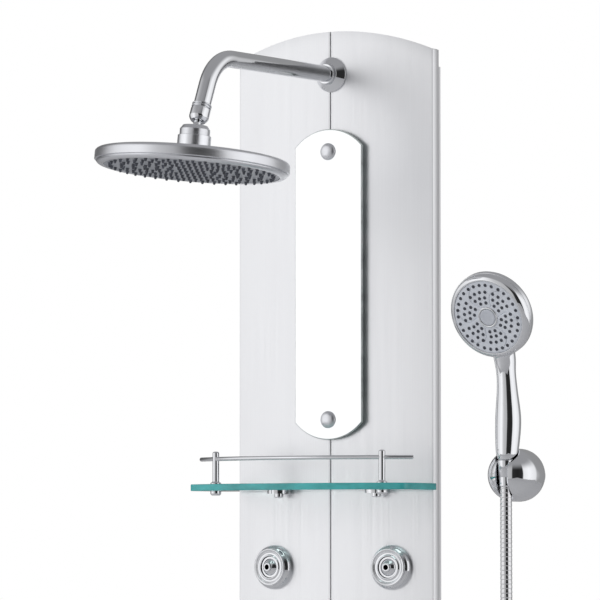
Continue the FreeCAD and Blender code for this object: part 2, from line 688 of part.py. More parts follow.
def build_hose():
    path, length, radii = hose_path()
    start = V(*HOSE_ROUTE[0])
    way = V(*HOSE_ROUTE[1]) - start
    hose = swept(path, start, way, HOSE_R)
    print("hose length", round(length, 1), "radii", [round(r) for r in radii])
    print("hose volume over section x length", round(hose.Volume / (math.pi * HOSE_R ** 2 * length), 5))
    save("hose", hose)


def build_bracket():
    """A small screwed base, and the round-nosed body that stands on it and holds the handset."""
    wall = V(HOLDER_X, 0, HOLDER_HEIGHT)
    base = [(0, 0), (15.5, 0), (15.5, 6), (14.5, 7), (7.5, 7), (7.5, 22), (0, 22)]
    base = turned(base, wall, FRONT)
    for x in (-HOLDER_SCREW_X, HOLDER_SCREW_X):
        at = V(HOLDER_X + x, 0, HOLDER_HEIGHT)
        base = base.cut(rod(at - FRONT, at + FRONT * 10, 2.25))
    save("bracket_base", base)
    nose = HOLDER_R * sine(45)
    body = [(0, 9), (20, 9), (HOLDER_R, 27), (HOLDER_R, HOLDER_Y)]
    body += [(nose, HOLDER_Y + nose, 0, HOLDER_Y + HOLDER_R)]
    ball = turned(body, wall, FRONT).cut(rod(wall, wall + FRONT * 22.2, 7.55))
    seat = [(0, -40), (8.1, -40), (8.1, -14), (10.6, 17), (10.6, 45), (0, 45)]
    throat = [(0, 15), (13.2, 15), (17, 34), (20, 45), (0, 45)]
    hole = turned(seat, V(HOLDER_X, -HANDLE_Y, HOLDER_HEIGHT))
    hole = hole.fuse(turned(throat, V(HOLDER_X, 1.6 - HANDLE_Y, HOLDER_HEIGHT)))
    slot = box(
        (HOLDER_X - 8.3, HOLDER_X + 8.3),
        (-HOLDER_Y - 2 * HOLDER_R, -HANDLE_Y),
        (HOLDER_HEIGHT - 40, HOLDER_HEIGHT + 40),
    )
    save("bracket_ball", ball.cut(hole).cut(slot))


def handset_normal():
    """The way the handset sprays: forward and down."""
    return V(0, -cosine(HANDSET_TILT), -sine(HANDSET_TILT))


# Handle stations: distance from the wall, height and diameter.
HANDLE_STATIONS = [
    (63.0, 133.0, 21.0),
    (62.0, 145.0, 27.0),
    (59.6, 180.0, 30.4),
    (61.6, 215.0, 24.5),
    (64.2, 235.0, 23.0),
    (67.6, 253.0, 26.0),
    (74.5, 272.0, 27.0),
    (84.0, 292.0, 22.0),
]


def build_handset():
    rings = []
    for depth, height, diameter in HANDLE_STATIONS:
        ring = Part.makeCircle(diameter / 2, V(HOLDER_X, -depth, height), UP)
        rings.append(Part.Wire(ring))
    handle = Part.makeLoft(rings, True)
    centre = V(HOLDER_X, -HANDSET_FACE_Y, HANDSET_FACE_HEIGHT)
    back = handset_normal() * -1
    edge = HANDSET_FACE_R
    shell = [(0, 2.2), (edge + 0.1, 2.2), (edge + 0.1, 0), (edge + 2, 0), (50.2, 2.6, 51.5, 8)]
    shell += [(50.7, 8), (50.7, 9), (51.5, 9), (51.5, 15), (49.3, 20.3, 44, 22.5), dome(44, 22.5, 3)]
    save("handset_body", handle.fuse(turned(shell, centre, back)).removeSplitter())
    plate = [(10.1, 0.4), (edge, 0.4), (edge, 2.2), (10.1, 2.2)]
    save("handset_face", turned(plate, centre, back))
    button = [(0, -0.4), (9.2, -0.4), (10, 0.4), (10, 2.2), (0, 2.2)]
    save("handset_button", turned(button, centre, back))
    nut = [(0, NUT_BOTTOM), (HOSE_R, NUT_BOTTOM), (7.7, NUT_BOTTOM + 0.8), (10.2, NUT_TOP - 1.6)]
    nut += [(9.8, NUT_TOP), (0, NUT_TOP)]
    save("handset_hose_nut", turned(nut, V(HOLDER_X, -HANDLE_Y, 0)))


os.makedirs("parts", exist_ok=True)
build_panel()
build_frame()
build_hangers()
build_arm()
build_head()
build_mirror()
build_shelf()
build_jets()
build_pipes()
build_diverter()
build_mixer()
build_outlet()
build_hose()
build_bracket()
build_handset()
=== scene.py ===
"""Looks of the rainfall shower column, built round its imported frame.

Lengths are metres in the frame's own axes: +Z up, the wall is Y = 0 and the user stands at -Y.
Every piece is made in place, so its object stays at the origin.
"""

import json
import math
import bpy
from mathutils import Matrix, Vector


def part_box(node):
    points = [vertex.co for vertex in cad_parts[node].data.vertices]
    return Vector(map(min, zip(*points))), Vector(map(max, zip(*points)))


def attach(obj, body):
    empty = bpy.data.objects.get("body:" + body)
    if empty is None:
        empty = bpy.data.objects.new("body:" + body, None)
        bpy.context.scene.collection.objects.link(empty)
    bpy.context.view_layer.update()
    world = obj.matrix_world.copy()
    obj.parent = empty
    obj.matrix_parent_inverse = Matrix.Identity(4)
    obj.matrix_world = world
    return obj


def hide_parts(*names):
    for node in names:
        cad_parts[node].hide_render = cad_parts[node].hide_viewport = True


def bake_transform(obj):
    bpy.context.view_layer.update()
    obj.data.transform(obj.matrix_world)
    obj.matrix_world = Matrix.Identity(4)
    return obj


bl_info = {
    "name": "Rainfall Shower Column",
    "version": (1, 0, 0),
    "blender": (4, 5, 0),
    "location": "3D View > Sidebar > Shower Column",
    "description": "Builds the finished pieces of a wall-hung rainfall shower column",
    "category": "Add Mesh",
}

import bmesh
import bpy
from mathutils import Matrix, Vector

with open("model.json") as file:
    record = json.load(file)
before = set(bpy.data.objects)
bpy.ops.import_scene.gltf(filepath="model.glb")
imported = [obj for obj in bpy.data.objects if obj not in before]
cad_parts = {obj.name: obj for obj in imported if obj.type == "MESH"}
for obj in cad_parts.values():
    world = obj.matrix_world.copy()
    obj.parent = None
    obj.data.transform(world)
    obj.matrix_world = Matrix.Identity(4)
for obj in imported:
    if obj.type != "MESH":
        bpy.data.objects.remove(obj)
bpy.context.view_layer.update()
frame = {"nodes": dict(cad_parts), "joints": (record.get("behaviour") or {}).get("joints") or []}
JOINTS = {joint["name"]: joint for joint in frame["joints"]}

MM = 0.001
UP = Vector((0, 0, 1))
FRONT = Vector((0, -1, 0))
BODY = "column"


# ---------------------------------------------------------------- places read from the frame
def low(node):
    return Vector(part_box(node)[0])


def high(node):
    return Vector(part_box(node)[1])


def middle(node):
    return (low(node) + high(node)) / 2


def pivot(joint):
    return Vector(JOINTS[joint]["pos_m"])


def bow_of_panel():
    """Radius and centre line of the bowed front, from the panel's own box."""
    half = high("panel_right").x
    front = low("panel_right").y
    sheet = 2.5 * MM
    bow = 8 * MM
    radius = (half ** 2 + bow ** 2) / (2 * bow)
    return radius, round(front, 4) + radius, half, sheet


# ---------------------------------------------------------------- mesh helpers
def new_piece(name, vertices, faces):
    mesh = bpy.data.meshes.new(name)
    mesh.from_pydata([tuple(v) for v in vertices], [], faces)
    mesh.validate()
    piece = bpy.data.objects.new(name, mesh)
    bpy.context.scene.collection.objects.link(piece)
    return piece


def tidy_mesh(piece, sharp=35.0, merge=0.00001):
    """Merges doubles, turns every face outwards and shades smooth between sharp edges."""
    shape = bmesh.new()
    shape.from_mesh(piece.data)
    bmesh.ops.remove_doubles(shape, verts=shape.verts, dist=merge)
    bmesh.ops.recalc_face_normals(shape, faces=shape.faces)
    shape.to_mesh(piece.data)
    shape.free()
    for face in piece.data.polygons:
        face.use_smooth = True
    piece.data.set_sharp_from_angle(angle=math.radians(sharp))
    return piece


def bake(piece):
    """Turns a piece and its modifiers into one plain mesh."""
    plain = evaluated_mesh(piece)
    piece.modifiers.clear()
    old = piece.data
    piece.data = plain
    bpy.data.meshes.remove(old)
    return piece


def evaluated_mesh(piece):
    bpy.context.view_layer.update()
    graph = bpy.context.evaluated_depsgraph_get()
    return bpy.data.meshes.new_from_object(piece.evaluated_get(graph), depsgraph=graph)


def frame_at(centre, axis):
    """A matrix that takes local +Z to an axis, and the local origin to a centre."""
    turn = Vector(axis).to_track_quat("Z", "Y").to_matrix().to_4x4()
    return Matrix.Translation(centre) @ turn


def rounded(profile, steps=4):
    """Rounds the corners of a profile. A corner is (radius, height) or (radius, height, round)."""
    out = []
    count = len(profile)
    for i, corner in enumerate(profile):
        here = Vector(corner[:2])
        size = corner[2] if len(corner) > 2 else 0
        if not size:
            out.append(here)
            continue
        back = Vector(profile[i - 1][:2]) - here
        on = Vector(profile[(i + 1) % count][:2]) - here
        size = min(size, back.length * 0.49, on.length * 0.49)
        start = here + back.normalized() * size
        end = here + on.normalized() * size
        for k in range(steps + 1):
            t = k / steps
            out.append(start * (1 - t) ** 2 + here * 2 * t * (1 - t) + end * t ** 2)
    return out


def lathe_parts(profile, centre, axis, sides):
    """Vertices and faces of a turned solid, its profile in metres round the axis."""
    place = frame_at(centre, axis)
    rings = []
    vertices = []
    for radius, height in profile:
        if radius < 1e-7:
            rings.append([len(vertices)])
            vertices.append(place @ Vector((0, 0, height)))
            continue
        first = len(vertices)
        rings.append(list(range(first, first + sides)))
        for k in range(sides):
            angle = 2 * math.pi * k / sides
            vertices.append(
                place @ Vector((radius * math.cos(angle), radius * math.sin(angle), height))
            )
    faces = []
    closed = len(rings[0]) > 1 or len(rings[-1]) > 1
    pairs = list(zip(rings, rings[1:])) + ([(rings[-1], rings[0])] if closed else [])
    for near, far in pairs:
        for k in range(sides):
            on = (k + 1) % sides
            corners = [
                near[k % len(near)], near[on % len(near)], far[on % len(far)], far[k % len(far)]
            ]
            face = list(dict.fromkeys(corners))
            if len(face) > 2:
                faces.append(face)
    return vertices, faces


def lathe(name, profile, centre, axis, sides=96, sharp=35.0, steps=4):
    """A turned solid; profile corners are millimetres, as (radius, height[, round])."""
    points = [p * MM for p in rounded(profile, steps)]
    return tidy_mesh(new_piece(name, *lathe_parts(points, centre, axis, sides)), sharp)


def lathes(name, profile, places, sides=64, sharp=35.0, steps=4):
    """The same turned solid at several places, as one mesh."""
    points = [p * MM for p in rounded(profile, steps)]
    vertices = []
    faces = []
    for centre, axis in places:
        more, more_faces = lathe_parts(points, centre, axis, sides)
        faces += [[i + len(vertices) for i in face] for face in more_faces]
        vertices += more
    return tidy_mesh(new_piece(name, vertices, faces), sharp)


def ring_solid(name, rings, sharp=40.0):
    """A closed solid through rings of points, with flat ends."""
    sides = len(rings[0])
    vertices = [v for ring in rings for v in ring]
    faces = [list(range(sides)), list(range(len(vertices) - sides, len(vertices)))]
    for level in range(len(rings) - 1):
        for k in range(sides):
            on = (k + 1) % sides
            base = level * sides
            faces.append([base + k, base + on, base + sides + on, base + sides + k])
    return tidy_mesh(new_piece(name, vertices, faces), sharp)


def tube(name, points, radii, sides=32, side_way=Vector((1, 0, 0))):
    """A round bar along points; the frame of its rings follows the bends without twisting."""
    rings = []
    across = side_way
    for i, here in enumerate(points):
        along = (points[min(i + 1, len(points) - 1)] - points[max(i - 1, 0)]).normalized()
        across = (across - along * across.dot(along)).normalized()
        other = along.cross(across)
        radius = radii if isinstance(radii, float) else radii[i]
        ring = []
        for k in range(sides):
            angle = 2 * math.pi * k / sides
            ring.append(here + (across * math.cos(angle) + other * math.sin(angle)) * radius)
        rings.append(ring)
    return ring_solid(name, rings)


def slab(name, outline, start, depth, edge=0.0006, levels=3):
    """A flat plate from an outline, drawn out by a vector, with its edges eased."""
    count = len(outline)
    vertices = [p + start for p in outline] + [p + start + depth for p in outline]
    faces = [list(range(count)), list(range(count, 2 * count))]
    for k in range(count):
        on = (k + 1) % count
        faces.append([k, on, count + on, count + k])
    piece = tidy_mesh(new_piece(name, vertices, faces))
    if edge:
        ease = piece.modifiers.new("ease", "BEVEL")
        ease.width = edge
        ease.segments = levels
        ease.limit_method = "ANGLE"
        ease.angle_limit = math.radians(50)
        bake(piece)
        tidy_mesh(piece, 45)
    return piece


def drill(piece, cutters):
    """Cuts holes in a piece, each cutter a (start, end, radius) in metres."""
    for start, end, radius in cutters:
        along = end - start
        profile = [
            Vector((0, 0)), Vector((radius, 0)), Vector((radius, along.length)),
            Vector((0, along.length))
        ]
        cutter = tidy_mesh(new_piece("cutter", *lathe_parts(profile, start, along, 64)))
        hole = piece.modifiers.new("hole", "BOOLEAN")
        hole.object = cutter
        hole.solver = "EXACT"
        bake(piece)
        bpy.data.objects.remove(cutter)
    return piece


def arc_points(start, through, end, steps):
    """Points of the circle's arc from start to end through a third point."""
    a = through - start
    b = end - start
    normal = a.cross(b)
    centre = start + (normal.cross(a) * b.length_squared + b.cross(normal) * a.length_squared) / (
        2 * normal.length_squared
    )
    first = start - centre
    axis = normal.normalized()
    across = axis.cross(first)
    last = end - centre
    angle = math.atan2(last.dot(across) / first.length, last.dot(first) / first.length) % (
        2 * math.pi
    )
    return [
        centre + first * math.cos(angle * k / steps) + across * math.sin(angle * k / steps)
        for k in range(steps + 1)
    ]


# ---------------------------------------------------------------- fitting helpers
def fit(piece, body, finish, replaces=()):
    """Puts a finish on a piece and hands it to a body, standing for its plain nodes."""
    piece.data.materials.clear()
    piece.data.materials.append(finish)
    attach(piece, body)
    if replaces:
        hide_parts(*replaces)
    return piece


def finish_node(node, finish):
    """Gives a node that keeps its own shape a better finish."""
    piece = frame["nodes"][node]
    for slot in piece.material_slots:
        slot.material = finish


# ---------------------------------------------------------------- finishes
class Finish:
    """A principled material under construction: nodes are added with short calls."""

    def __init__(self, name, colour, metallic=0.0, roughness=0.4, **sockets):
        self.material = bpy.data.materials.new(name)
        self.material.use_nodes = True
        self.tree = self.material.node_tree
        self.shader = self.tree.nodes["Principled BSDF"]
        self.shader.inputs["Base Color"].default_value = (*colour, 1)
        self.shader.inputs["Metallic"].default_value = metallic
        self.shader.inputs["Roughness"].default_value = roughness
        for socket, value in sockets.items():
            self.shader.inputs[socket.replace("_", " ")].default_value = value
        self.material.diffuse_color = (*colour, 1)

    def node(self, kind, **settings):
        node = self.tree.nodes.new(kind)
        for name, value in settings.items():
            if name[0].isupper():
                node.inputs[name.replace("_", " ")].default_value = value
            else:
                setattr(node, name, value)
        return node

    def link(self, source, target):
        self.tree.links.new(source, target)
        return target

    def place(self, scale=(1, 1, 1), centre=(0, 0, 0), turn=(0, 0, 0)):
        """Object coordinates, moved to a centre, turned and stretched."""
        coordinates = self.node("ShaderNodeTexCoord")
        shift = self.node("ShaderNodeMapping", vector_type="TEXTURE")
        shift.inputs["Location"].default_value = centre
        shift.inputs["Rotation"].default_value = turn
        self.link(coordinates.outputs["Object"], shift.inputs["Vector"])
        stretch = self.node("ShaderNodeVectorMath", operation="MULTIPLY")
        stretch.inputs[1].default_value = scale
        self.link(shift.outputs["Vector"], stretch.inputs[0])
        return stretch.outputs["Vector"]

    def noise(self, vector, scale=1.0, detail=4.0, rough=0.55):
        noise = self.node("ShaderNodeTexNoise", Scale=scale, Detail=detail, Roughness=rough)
        self.link(vector, noise.inputs["Vector"])
        return noise.outputs["Fac"]

    def spread(self, value, low_in, high_in, low_out, high_out):
        remap = self.node("ShaderNodeMapRange")
        for socket, number in zip(
            ("From Min", "From Max", "To Min", "To Max"), (low_in, high_in, low_out, high_out)
        ):
            remap.inputs[socket].default_value = number
        self.link(value, remap.inputs["Value"])
        return remap.outputs["Result"]

    def two(self, operation, first, second):
        """A math node on two values, each a socket or a number."""
        node = self.node("ShaderNodeMath", operation=operation)
        for socket, value in zip(node.inputs, (first, second)):
            if isinstance(value, (int, float)):
                socket.default_value = value
            else:
                self.link(value, socket)
        return node.outputs["Value"]

    def colours(self, value, stops):
        ramp = self.node("ShaderNodeValToRGB")
        points = ramp.color_ramp.elements
        while len(points) < len(stops):
            points.new(0.5)
        for point, (position, colour) in zip(points, stops):
            point.position = position
            point.color = (*colour, 1)
        self.link(value, ramp.inputs["Fac"])
        self.link(ramp.outputs["Color"], self.shader.inputs["Base Color"])

    def rough(self, value):
        self.link(value, self.shader.inputs["Roughness"])

    def bump(self, value, strength, distance):
        bump = self.node("ShaderNodeBump", Strength=strength, Distance=distance)
        self.link(value, bump.inputs["Height"])
        self.link(bump.outputs["Normal"], self.shader.inputs["Normal"])


def shade(colour, factor):
    return tuple(min(1.0, c * factor) for c in colour)


def satin_sheet(name, colour, grain=(900, 900, 5), roughness=0.34):
    """Brushed anodised sheet: fine grain along the long way, broad cloudy variation."""
    finish = Finish(name, colour, metallic=1.0, roughness=roughness)
    fine = finish.noise(finish.place(grain), detail=3.0)
    cloud = finish.noise(finish.place((5, 5, 2.2)), detail=3.0)
    finish.colours(finish.two("ADD", finish.two("MULTIPLY", fine, 0.5), finish.two("MULTIPLY", cloud, 0.5)),
                   [(0.3, shade(colour, 0.955)), (0.7, shade(colour, 1.03))])
    finish.rough(finish.spread(fine, 0.3, 0.7, roughness - 0.05, roughness + 0.07))
    finish.bump(fine, 0.06, 0.0003)
    return finish.material


def chrome_plate(name, colour, roughness=0.035):
    """Polished plate: faint wipe marks in the gloss, a few dried water spots, a soft ripple."""
    finish = Finish(name, colour, metallic=1.0, roughness=roughness)
    wipes = finish.noise(finish.place((70, 70, 260), turn=(0.4, 0.2, 0.6)), detail=5.0)
    clouds = finish.noise(finish.place((22, 22, 22)), detail=2.0)
    spots = finish.node("ShaderNodeTexVoronoi", Scale=1.0, Randomness=1.0)
    finish.link(finish.place((140, 140, 140)), spots.inputs["Vector"])
    ring = finish.spread(spots.outputs["Distance"], 0.02, 0.16, 0.06, 0.0)
    gloss = finish.spread(wipes, 0.35, 0.75, roughness - 0.015, roughness + 0.04)
    finish.rough(
        finish.two(
            "ADD", gloss, finish.two("MULTIPLY", ring, finish.spread(clouds, 0.5, 0.62, 0.0, 1.0))
        )
    )
    finish.colours(clouds, [(0.3, shade(colour, 0.97)), (0.7, shade(colour, 1.02))])
    finish.bump(clouds, 0.02, 0.0004)
    return finish.material


def satin_turned(name, colour, centre, axis, roughness=0.3):
    """Fine concentric turning marks round an axis."""
    finish = Finish(name, colour, metallic=1.0, roughness=roughness)
    turn = Vector(axis).to_track_quat("Z", "Y").to_euler()
    local = finish.place((1, 1, 1), centre=centre, turn=turn)
    parts = finish.node("ShaderNodeSeparateXYZ")
    finish.link(local, parts.inputs["Vector"])
    x_sq = finish.two("POWER", parts.outputs["X"], 2.0)
    y_sq = finish.two("POWER", parts.outputs["Y"], 2.0)
    radius = finish.two("SQRT", finish.two("ADD", x_sq, y_sq), 0.0)
    sweep = finish.node("ShaderNodeCombineXYZ")
    finish.link(finish.two("MULTIPLY", radius, 1500.0), sweep.inputs["X"])
    finish.link(finish.two("MULTIPLY", parts.outputs["Z"], 1500.0), sweep.inputs["Y"])
    rings = finish.noise(sweep.outputs["Vector"], detail=3.0)
    cloud = finish.noise(finish.place((14, 14, 14)), detail=3.0)
    finish.colours(cloud, [(0.3, shade(colour, 0.95)), (0.7, shade(colour, 1.03))])
    finish.rough(finish.spread(rings, 0.3, 0.7, roughness - 0.025, roughness + 0.035))
    finish.bump(rings, 0.02, 0.0002)
    return finish.material


def moulded(name, colour, roughness=0.42, grain=1400.0):
    """Moulded plastic: a fine spark-eroded texture and slight unevenness in colour and gloss."""
    finish = Finish(name, colour, roughness=roughness)
    fine = finish.noise(finish.place((grain, grain, grain)), detail=2.0)
    cloud = finish.noise(finish.place((40, 40, 40)), detail=4.0)
    finish.colours(cloud, [(0.25, shade(colour, 0.9)), (0.75, shade(colour, 1.08))])
    finish.rough(finish.spread(cloud, 0.3, 0.7, roughness - 0.06, roughness + 0.08))
    finish.bump(fine, 0.12, 0.0002)
    return finish.material


def soft_rubber(name, colour):
    """Silicone nozzle rubber, with lime dust caught here and there."""
    finish = Finish(name, colour, roughness=0.55)
    dust = finish.noise(finish.place((160, 160, 160)), detail=5.0)
    finish.colours(dust, [(0.35, colour), (0.62, shade(colour, 1.7)), (0.8, shade(colour, 3.2))])
    finish.rough(finish.spread(dust, 0.3, 0.7, 0.45, 0.75))
    finish.bump(dust, 0.15, 0.0003)
    return finish.material


def silvered_mirror(name, colour):
    """Silvered glass front with the faintest wipe haze."""
    finish = Finish(name, colour, metallic=1.0, roughness=0.015)
    haze = finish.noise(finish.place((9, 9, 30), turn=(0, 0.5, 0)), detail=6.0)
    finish.colours(haze, [(0.3, shade(colour, 0.985)), (0.7, colour)])
    finish.rough(finish.spread(haze, 0.45, 0.8, 0.008, 0.05))
    return finish.material


def glass_edge(name, colour, roughness=0.12):
    """Ground glass edge with a green cast, and the streaks the grinding leaves."""
    finish = Finish(name, colour, roughness=roughness, IOR=1.5, Transmission_Weight=0.25)
    streaks = finish.noise(finish.place((18, 18, 1500)), detail=3.0)
    depth = finish.noise(finish.place((26, 26, 60)), detail=3.0)
    finish.colours(
        depth, [(0.3, shade(colour, 0.72)), (0.55, colour), (0.75, shade(colour, 1.25))]
    )
    finish.rough(finish.spread(streaks, 0.3, 0.7, roughness - 0.05, roughness + 0.1))
    finish.bump(streaks, 0.05, 0.0002)
    return finish.material


def float_glass(name, colour):
    """Clear float glass with a green cast and a few drying marks."""
    finish = Finish(name, colour, roughness=0.02, IOR=1.5, Transmission_Weight=0.95)
    marks = finish.noise(finish.place((60, 60, 60)), detail=6.0)
    finish.colours(marks, [(0.3, shade(colour, 0.96)), (0.7, colour)])
    finish.rough(finish.spread(marks, 0.55, 0.8, 0.01, 0.12))
    return finish.material


def plain_brass(name, colour):
    """Unplated pipe brass, with tarnish in soft patches."""
    finish = Finish(name, colour, metallic=1.0, roughness=0.3)
    patches = finish.noise(finish.place((38, 38, 26)), detail=6.0)
    finish.colours(
        patches,
        [(0.3, shade(colour, 0.62)), (0.5, shade(colour, 0.9)), (0.72, shade(colour, 1.08))]
    )
    finish.rough(finish.spread(patches, 0.3, 0.7, 0.42, 0.24))
    finish.bump(finish.noise(finish.place((700, 700, 700)), detail=2.0), 0.06, 0.0002)
    return finish.material


def zinc_sheet(name, colour):
    """Zinc plated sheet with its spangle."""
    finish = Finish(name, colour, metallic=1.0, roughness=0.42)
    spangle = finish.node("ShaderNodeTexVoronoi", Scale=1.0, Randomness=1.0)
    finish.link(finish.place((170, 170, 170)), spangle.inputs["Vector"])
    tone = finish.node("ShaderNodeSeparateXYZ")
    finish.link(spangle.outputs["Color"], tone.inputs["Vector"])
    finish.colours(tone.outputs["X"], [(0.0, shade(colour, 0.84)), (1.0, shade(colour, 1.08))])
    finish.rough(finish.spread(tone.outputs["Y"], 0, 1, 0.36, 0.52))
    return finish.material


def strip_steel(name, colour):
    """Interlocked stainless strip, wiped bright in patches."""
    finish = Finish(name, colour, metallic=1.0, roughness=0.16)
    wear = finish.noise(finish.place((120, 120, 120)), detail=5.0)
    finish.colours(wear, [(0.3, shade(colour, 0.88)), (0.7, shade(colour, 1.04))])
    finish.rough(finish.spread(wear, 0.3, 0.75, 0.1, 0.26))
    finish.bump(wear, 0.04, 0.0002)
    return finish.material


FINISHES = {}


def make_finishes(colours):
    """All the finishes, from the colours in the panel of settings."""
    tilt_centre = pivot("head_tilt")
    head_axis = tilt_centre - middle("head_face")
    FINISHES["sheet"] = satin_sheet("satin_sheet", tuple(colours.sheet))
    FINISHES["frame"] = satin_sheet("frame_sheet", shade(colours.sheet, 0.93), roughness=0.4)
    FINISHES["chrome"] = chrome_plate("bright_chrome", tuple(colours.chrome))
    FINISHES["head"] = satin_turned(
        "turned_satin", tuple(colours.rain_head), tilt_centre, head_axis
    )
    FINISHES["socket"] = satin_turned(
        "socket_satin", shade(colours.rain_head, 1.14), tilt_centre, head_axis
    )
    FINISHES["face"] = moulded("grey_face", tuple(colours.spray_face), roughness=0.36)
    # The handset's spray face is the spray-face grey lightened 1.8 times; the lift is painted light, making
    # it read brighter than the rain head's face of the same grey.
    FINISHES["hand_face"] = moulded("handset_grey_painted_light", shade(colours.spray_face, 1.8), roughness=0.34)
    FINISHES["button"] = moulded(
        "button_grey", shade(colours.spray_face, 1.5), roughness=0.22, grain=900.0
    )
    FINISHES["rubber"] = soft_rubber("nozzle_rubber", tuple(colours.nozzles))
    FINISHES["mirror"] = silvered_mirror("silvered_glass", (0.94, 0.95, 0.95))
    FINISHES["mirror_edge"] = glass_edge("mirror_edge_green", (0.84, 0.92, 0.90), 0.4)
    FINISHES["glass"] = float_glass("shelf_clear", (0.80, 0.95, 0.93))
    FINISHES["glass_edge"] = glass_edge("shelf_edge_green", tuple(colours.shelf_edge))
    FINISHES["brass"] = plain_brass("pipe_brass", (0.72, 0.56, 0.27))
    FINISHES["zinc"] = zinc_sheet("zinc_plate", (0.60, 0.61, 0.62))
    FINISHES["hose"] = strip_steel("hose_strip", (0.80, 0.80, 0.81))
    FINISHES["dark"] = moulded("bore_shadow", (0.02, 0.02, 0.022), roughness=0.6)


# ---------------------------------------------------------------- geometry node helpers
class Rule:
    """A geometry node tree that places a repeated shape, with its sizes as named inputs."""

    def __init__(self, name, sizes):
        self.tree = bpy.data.node_groups.new(name, "GeometryNodeTree")
        face = self.tree.interface
        face.new_socket("Geometry", in_out="INPUT", socket_type="NodeSocketGeometry")
        self.sockets = {}
        for label, value in sizes.items():
            kind = "NodeSocketInt" if isinstance(value, int) else "NodeSocketFloat"
            socket = face.new_socket(label, in_out="INPUT", socket_type=kind)
            socket.default_value = value
            self.sockets[label] = (socket.identifier, value)
        face.new_socket("Geometry", in_out="OUTPUT", socket_type="NodeSocketGeometry")
        self.start = self.tree.nodes.new("NodeGroupInput")
        self.end = self.tree.nodes.new("NodeGroupOutput")

    def node(self, kind, inputs=None, **settings):
        node = self.tree.nodes.new(kind)
        for name, value in settings.items():
            setattr(node, name, value)
        for key, value in (inputs or {}).items():
            socket = node.inputs[key]
            if isinstance(value, bpy.types.NodeSocket):
                self.tree.links.new(value, socket)
            else:
                socket.default_value = value
        return node

    def size(self, label):
        return self.start.outputs[label]

    def sum(self, operation, first, second=0.0, third=0.0):
        node = self.node("ShaderNodeMath", operation=operation)
        for socket, value in zip(node.inputs, (first, second, third)):
            if isinstance(value, bpy.types.NodeSocket):
                self.tree.links.new(value, socket)
            else:
                socket.default_value = value
        return node.outputs[0]

    def vector(self, x=0.0, y=0.0, z=0.0):
        return self.node("ShaderNodeCombineXYZ", {"X": x, "Y": y, "Z": z}).outputs[0]

    def scatter(self, points, reach, angle, material, turn=None):
        """Stands a copy of the piece at each point, at a reach and an angle round local Z."""
        spot = self.vector(
            self.sum("MULTIPLY", reach, self.sum("COSINE", angle)),
            self.sum("MULTIPLY", reach, self.sum("SINE", angle)),
        )
        placed = self.node(
            "GeometryNodeSetPosition", {"Geometry": points.outputs[0], "Position": spot}
        )
        inputs = {"Points": placed.outputs[0], "Instance": self.start.outputs["Geometry"]}
        if turn is not None:
            inputs["Rotation"] = turn
        copies = self.node("GeometryNodeInstanceOnPoints", inputs)
        self.finish(copies.outputs[0], material)

    def finish(self, geometry, material):
        real = self.node("GeometryNodeRealizeInstances", {"Geometry": geometry})
        painted = self.node(
            "GeometryNodeSetMaterial", {"Geometry": real.outputs[0], "Material": material}
        )
        self.tree.links.new(painted.outputs[0], self.end.inputs["Geometry"])

    def grow(self, piece):
        """Runs the rule on a piece and leaves its plain mesh."""
        modifier = piece.modifiers.new("rule", "NODES")
        modifier.node_group = self.tree
        for identifier, value in self.sockets.values():
            modifier[identifier] = value
        bake(piece)
        return piece


def spray_rule(name, material, sizes):
    """Nozzles in concentric rings, six sectors each: ring k holds six more than the last.

    The piece it runs on is one nozzle, standing on its local Z axis."""
    rule = Rule(name, sizes)
    rings = rule.size("Rings")
    total = rule.sum("MULTIPLY", rule.sum("MULTIPLY", rings, rule.sum("ADD", rings, 1.0)), 3.0)
    points = rule.node("GeometryNodePoints", {"Count": rule.sum("ADD", total, 1.0)})
    index = rule.node("GeometryNodeInputIndex").outputs[0]
    root = rule.sum("SQRT", rule.sum("MULTIPLY_ADD", index, 12.0, 9.0))
    ring = rule.sum("CEIL", rule.sum("DIVIDE", rule.sum("SUBTRACT", root, 3.001), 6.0))
    ring = rule.sum("MAXIMUM", ring, 0.0)
    first = rule.sum(
        "ADD",
        rule.sum("MULTIPLY", rule.sum("MULTIPLY", ring, rule.sum("SUBTRACT", ring, 1.0)), 3.0), 1.0
    )
    share = rule.sum(
        "DIVIDE", rule.sum("SUBTRACT", index, first),
        rule.sum("MAXIMUM", rule.sum("MULTIPLY", ring, 6.0), 1.0)
    )
    angle = rule.sum(
        "ADD", rule.sum("MULTIPLY", share, 2 * math.pi),
        rule.sum("MULTIPLY", ring, rule.size("Twist"))
    )
    reach = rule.sum("MULTIPLY", ring, rule.size("Spacing"))
    rule.scatter(points, reach, angle, material)
    return rule


def sector_rule(name, material, sizes):
    """Nozzles in one ring of six sectors: a row in each sector, close together, then a gap."""
    rule = Rule(name, sizes)
    per_row = rule.size("Nozzles in a row")
    points = rule.node("GeometryNodePoints", {"Count": rule.sum("MULTIPLY", per_row, 6.0)})
    index = rule.node("GeometryNodeInputIndex").outputs[0]
    sector = rule.sum("FLOOR", rule.sum("DIVIDE", rule.sum("ADD", index, 0.01), per_row))
    place = rule.sum("SUBTRACT", index, rule.sum("MULTIPLY", sector, per_row))
    from_middle = rule.sum(
        "SUBTRACT", place, rule.sum("DIVIDE", rule.sum("SUBTRACT", per_row, 1.0), 2.0)
    )
    angle = rule.sum("ADD", rule.sum("MULTIPLY", sector, math.pi / 3), rule.size("Turn"))
    angle = rule.sum("ADD", angle, rule.sum("MULTIPLY", from_middle, rule.size("Step")))
    reach = rule.sum(
        "ADD", rule.size("Radius"), rule.sum("MULTIPLY", from_middle, rule.size("Slant"))
    )
    rule.scatter(points, reach, angle, material)
    return rule


